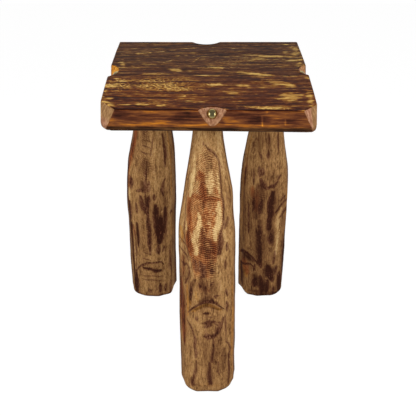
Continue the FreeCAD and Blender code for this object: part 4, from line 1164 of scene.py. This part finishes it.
# Wedges
# A hardwood fox wedge in the saw kerf of each tenon. Driving the tenon home
# spreads it in its blind mortise, so none shows once the table is together.
def redress(node_name, material):
    """Gives a CAD node another material in place of its own."""
    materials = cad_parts[node_name].data.materials
    materials.clear()
    materials.append(material)


def wedge_wood():
    """Plain hard wood, split along its grain."""
    material, start = new_material("split_wedge")
    streaks = grain(start, 500, 500, 30)
    paint = mixed(ramp(streaks, -0.15, 0.15), colour(150, 112, 74), colour(196, 158, 112))
    return finish(start, material, paint, 0.6 + streaks * 0.2, streaks, 0.0004)


wedge_material = wedge_wood()
for name in LEGS:
    redress(f"wedge_{name}", wedge_material)


# Brass domes
# A pressed brass cap in each scoop, about 20 mm across, aged to a dull olive and
# painted darkest on the crown as a dark reflection. The nail soldered inside it holds it to the slab.
DOME_WALL = 0.9
DOME_COLUMNS = 72
DOMES = {}


def dome_profile():
    """Radius and rise of a cap's section from its crown down the outside and back up
    the inside: two arcs about the same centre, joined at the rim."""
    ball = (DOME_RADIUS ** 2 + DOME_RISE ** 2) / (2 * DOME_RISE)
    inner_ball = ball - DOME_WALL
    outer_turn = np.linspace(0, math.asin(DOME_RADIUS / ball), 22)[1:]
    inner_turn = np.linspace(math.acos((ball - DOME_RISE) / inner_ball), 0, 12)[:-1]
    section = [(ball, outer_turn), (inner_ball, inner_turn)]
    radius = np.concatenate([size * np.sin(turn) for size, turn in section])
    rise = np.concatenate([DOME_RISE - ball + size * np.cos(turn) for size, turn in section])
    return radius[:, None, None], rise[:, None, None]


radius, rise = dome_profile()
turn = np.linspace(0, 2 * math.pi, DOME_COLUMNS, endpoint=False)[:, None]
for side, (seat, axis) in SEATS.items():
    level = np.cross((0, 0, 1), SCOOP_FACING[side])
    radial = np.cos(turn) * level + np.sin(turn) * np.cross(axis, level)
    rings = seat + radius * radial + rise * axis
    crowns = [seat + DOME_RISE * axis, seat + (DOME_RISE - DOME_WALL) * axis]
    points = np.concatenate([rings.reshape(-1, 3), crowns])
    crown_share = np.concatenate([np.repeat(rise / DOME_RISE, DOME_COLUMNS), [1, 0.8]])
    dome_faces = closed_faces(len(rise), DOME_COLUMNS)
    DOMES[side] = put_mesh(f"dome_{side}", points, dome_faces, {"crown": crown_share})


def aged_brass():
    """Brass with an olive skin, painted darker on the crown as a dark reflection, and faintly scratched.
    """
    material, start = new_material("aged_brass")
    cloud = grain(start, 260, 260, 260, detail=4)
    fine = grain(start, 2600, 2600, 2600, detail=2)
    painted_crown_reflection = ramp(field(start, "crown") + cloud * 0.7, 0.35, 0.95)
    paint = mixed(painted_crown_reflection, colour(186, 166, 108), colour(140, 128, 88))
    return finish(start, material, paint, 0.16 + cloud * 0.1, fine, 0.00002, metallic=1.0)


brass = aged_brass()
for side, dome in DOMES.items():
    dome.data.materials.append(brass)
    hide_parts(f"boss_cap_{side}")


# Nails
# A steel nail soldered inside each dome and driven square into the scoop. It keeps
# its CAD shape, which the slab and the dome hide.
def bright_steel():
    """Drawn steel wire with fine lines along it."""
    material, start = new_material("nail_steel")
    lines = grain(start, 1800, 1800, 400)
    paint = mixed(lines + 0.5, colour(120, 122, 126), colour(188, 190, 194))
    return finish(start, material, paint, 0.3 + lines * 0.2, lines, 0.00002, metallic=1.0)


steel = bright_steel()
for side in DOMES:
    redress(f"boss_nail_{side}", steel)


# Studio
# A pale floor under a white surround, soft light from above and both sides, and
# the camera where the photograph's perspective puts it.

# Mirrored rays see the white only behind and near the table, and the dim room in
# front: it begins at this northward part of a direction, and on the floor at this
# many metres north of the table's middle
BACKDROP_FROM = (0.3, 0.7)
SHEET_FROM = (-0.5, -0.3)
AMBIENT = 0.34
FLOOR_SHARE = 0.8
FLOOR_GLOW = 1.18
FLOOR_SIZE = 6.0
WHITE = (1, 1, 1, 1)


def shown_white(start, backdrop):
    """1 for the rays that show the white surround: all that the camera sends, and
    the mirrored and the seen-through ones where backdrop is 1."""
    camera_ray = start.add("ShaderNodeLightPath", out="Is Camera Ray")
    mirrored = start.add("ShaderNodeLightPath", out="Is Glossy Ray")
    through = start.add("ShaderNodeLightPath", out="Is Transmission Ray")
    return start.maths("MAXIMUM", camera_ray, start.maths("MAXIMUM", mirrored, through) * backdrop)


def northward(start, coordinates):
    """The y of a place on the object, or of a direction into the world."""
    place = start.add("ShaderNodeTexCoord", out=coordinates)
    return start.add("ShaderNodeSeparateXYZ", {}, {0: place}, out="Y")


def pale_floor():
    """Matt white that reads as plain white where no shadow falls on it."""
    material, start = new_material("pale_floor")
    tone = mixed(grain(start, 40, 40, 40) + 0.5, colour(186, 186, 186), colour(194, 194, 194))
    matt = start.add("ShaderNodeBsdfDiffuse", {}, {"Color": tone})
    glow = start.add("ShaderNodeEmission", {}, {"Color": WHITE, "Strength": FLOOR_GLOW})
    sheet = ramp(northward(start, "Object"), *SHEET_FROM)
    share = shown_white(start, sheet) * FLOOR_SHARE
    surface = start.add("ShaderNodeMixShader", {}, {0: share, 1: matt, 2: glow})
    start.add("ShaderNodeOutputMaterial", {}, {"Surface": surface})
    return material


edge = FLOOR_SIZE / 2
floor_corners = [(-edge, -edge, 0), (edge, -edge, 0), (edge, edge, 0), (-edge, edge, 0)]
floor_mesh = bpy.data.meshes.new("floor")
floor_mesh.from_pydata(floor_corners, [], [(0, 1, 2, 3)])
floor_mesh.materials.append(pale_floor())
floor = bpy.data.objects.new("floor", floor_mesh)
bpy.context.scene.collection.objects.link(floor)
floor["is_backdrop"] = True

world = bpy.data.worlds.new("studio")
bpy.context.scene.world = world
world.use_nodes = True
world.node_tree.nodes.clear()
start = Wire(world.node_tree)
light = start.add("ShaderNodeBackground", {}, {"Color": WHITE, "Strength": AMBIENT})
white = start.add("ShaderNodeBackground", {}, {"Color": WHITE, "Strength": 1.0})
backdrop = ramp(northward(start, "Generated"), *BACKDROP_FROM)
sky = start.add("ShaderNodeMixShader", {}, {0: shown_white(start, backdrop), 1: light, 2: white})
start.add("ShaderNodeOutputWorld", {}, {"Surface": sky})

# Soft boxes: name, place, the point each faces, width and height, power in watts.
# Only the two strips are mirrored, as the two highlights on the domes.
SOFT_BOXES = (
    ("front_box", (0, -2.6, 1.5), (0, 0, 0.35), (2.6, 1.8), 22),
    ("top_box", (0, -0.9, 2.5), (0, 0, 0.4), (2.4, 1.8), 22),
    ("left_strip", (-1.6, -0.9, 0.9), (0, -0.2, 0.6), (1.3, 1.2), 19.5),
    ("right_strip", (1.6, -0.9, 0.9), (0, -0.2, 0.6), (1.3, 1.2), 19.5),
)
for name, place, target, size, power in SOFT_BOXES:
    lamp = bpy.data.lights.new(name, "AREA")
    lamp.shape = "RECTANGLE"
    lamp.size, lamp.size_y = size
    lamp.energy = power
    holder = bpy.data.objects.new(name, lamp)
    aim = np.subtract(target, place)
    tilt, heading = math.acos(-aim[2] / np.linalg.norm(aim)), math.atan2(aim[1], aim[0])
    holder.location = place
    holder.rotation_euler = (tilt, 0, heading - math.pi / 2)
    holder.visible_glossy = name.endswith("strip")
    bpy.context.scene.collection.objects.link(holder)

CAMERA_PLACE = (0.0, -1.5765, 1.2218)
CAMERA_PITCH = 60.63
LENS = 68.96
SHIFT = -0.001
camera_data = bpy.data.cameras.new("camera")
camera_data.sensor_width = 36
camera_data.lens = LENS
camera_data.shift_x = SHIFT
camera = bpy.data.objects.new("camera", camera_data)
camera.location = CAMERA_PLACE
camera.rotation_euler = (math.radians(CAMERA_PITCH), 0, 0)
bpy.context.scene.collection.objects.link(camera)
bpy.context.scene.camera = camera
bpy.context.scene.view_settings.view_transform = "Standard"

low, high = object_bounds()
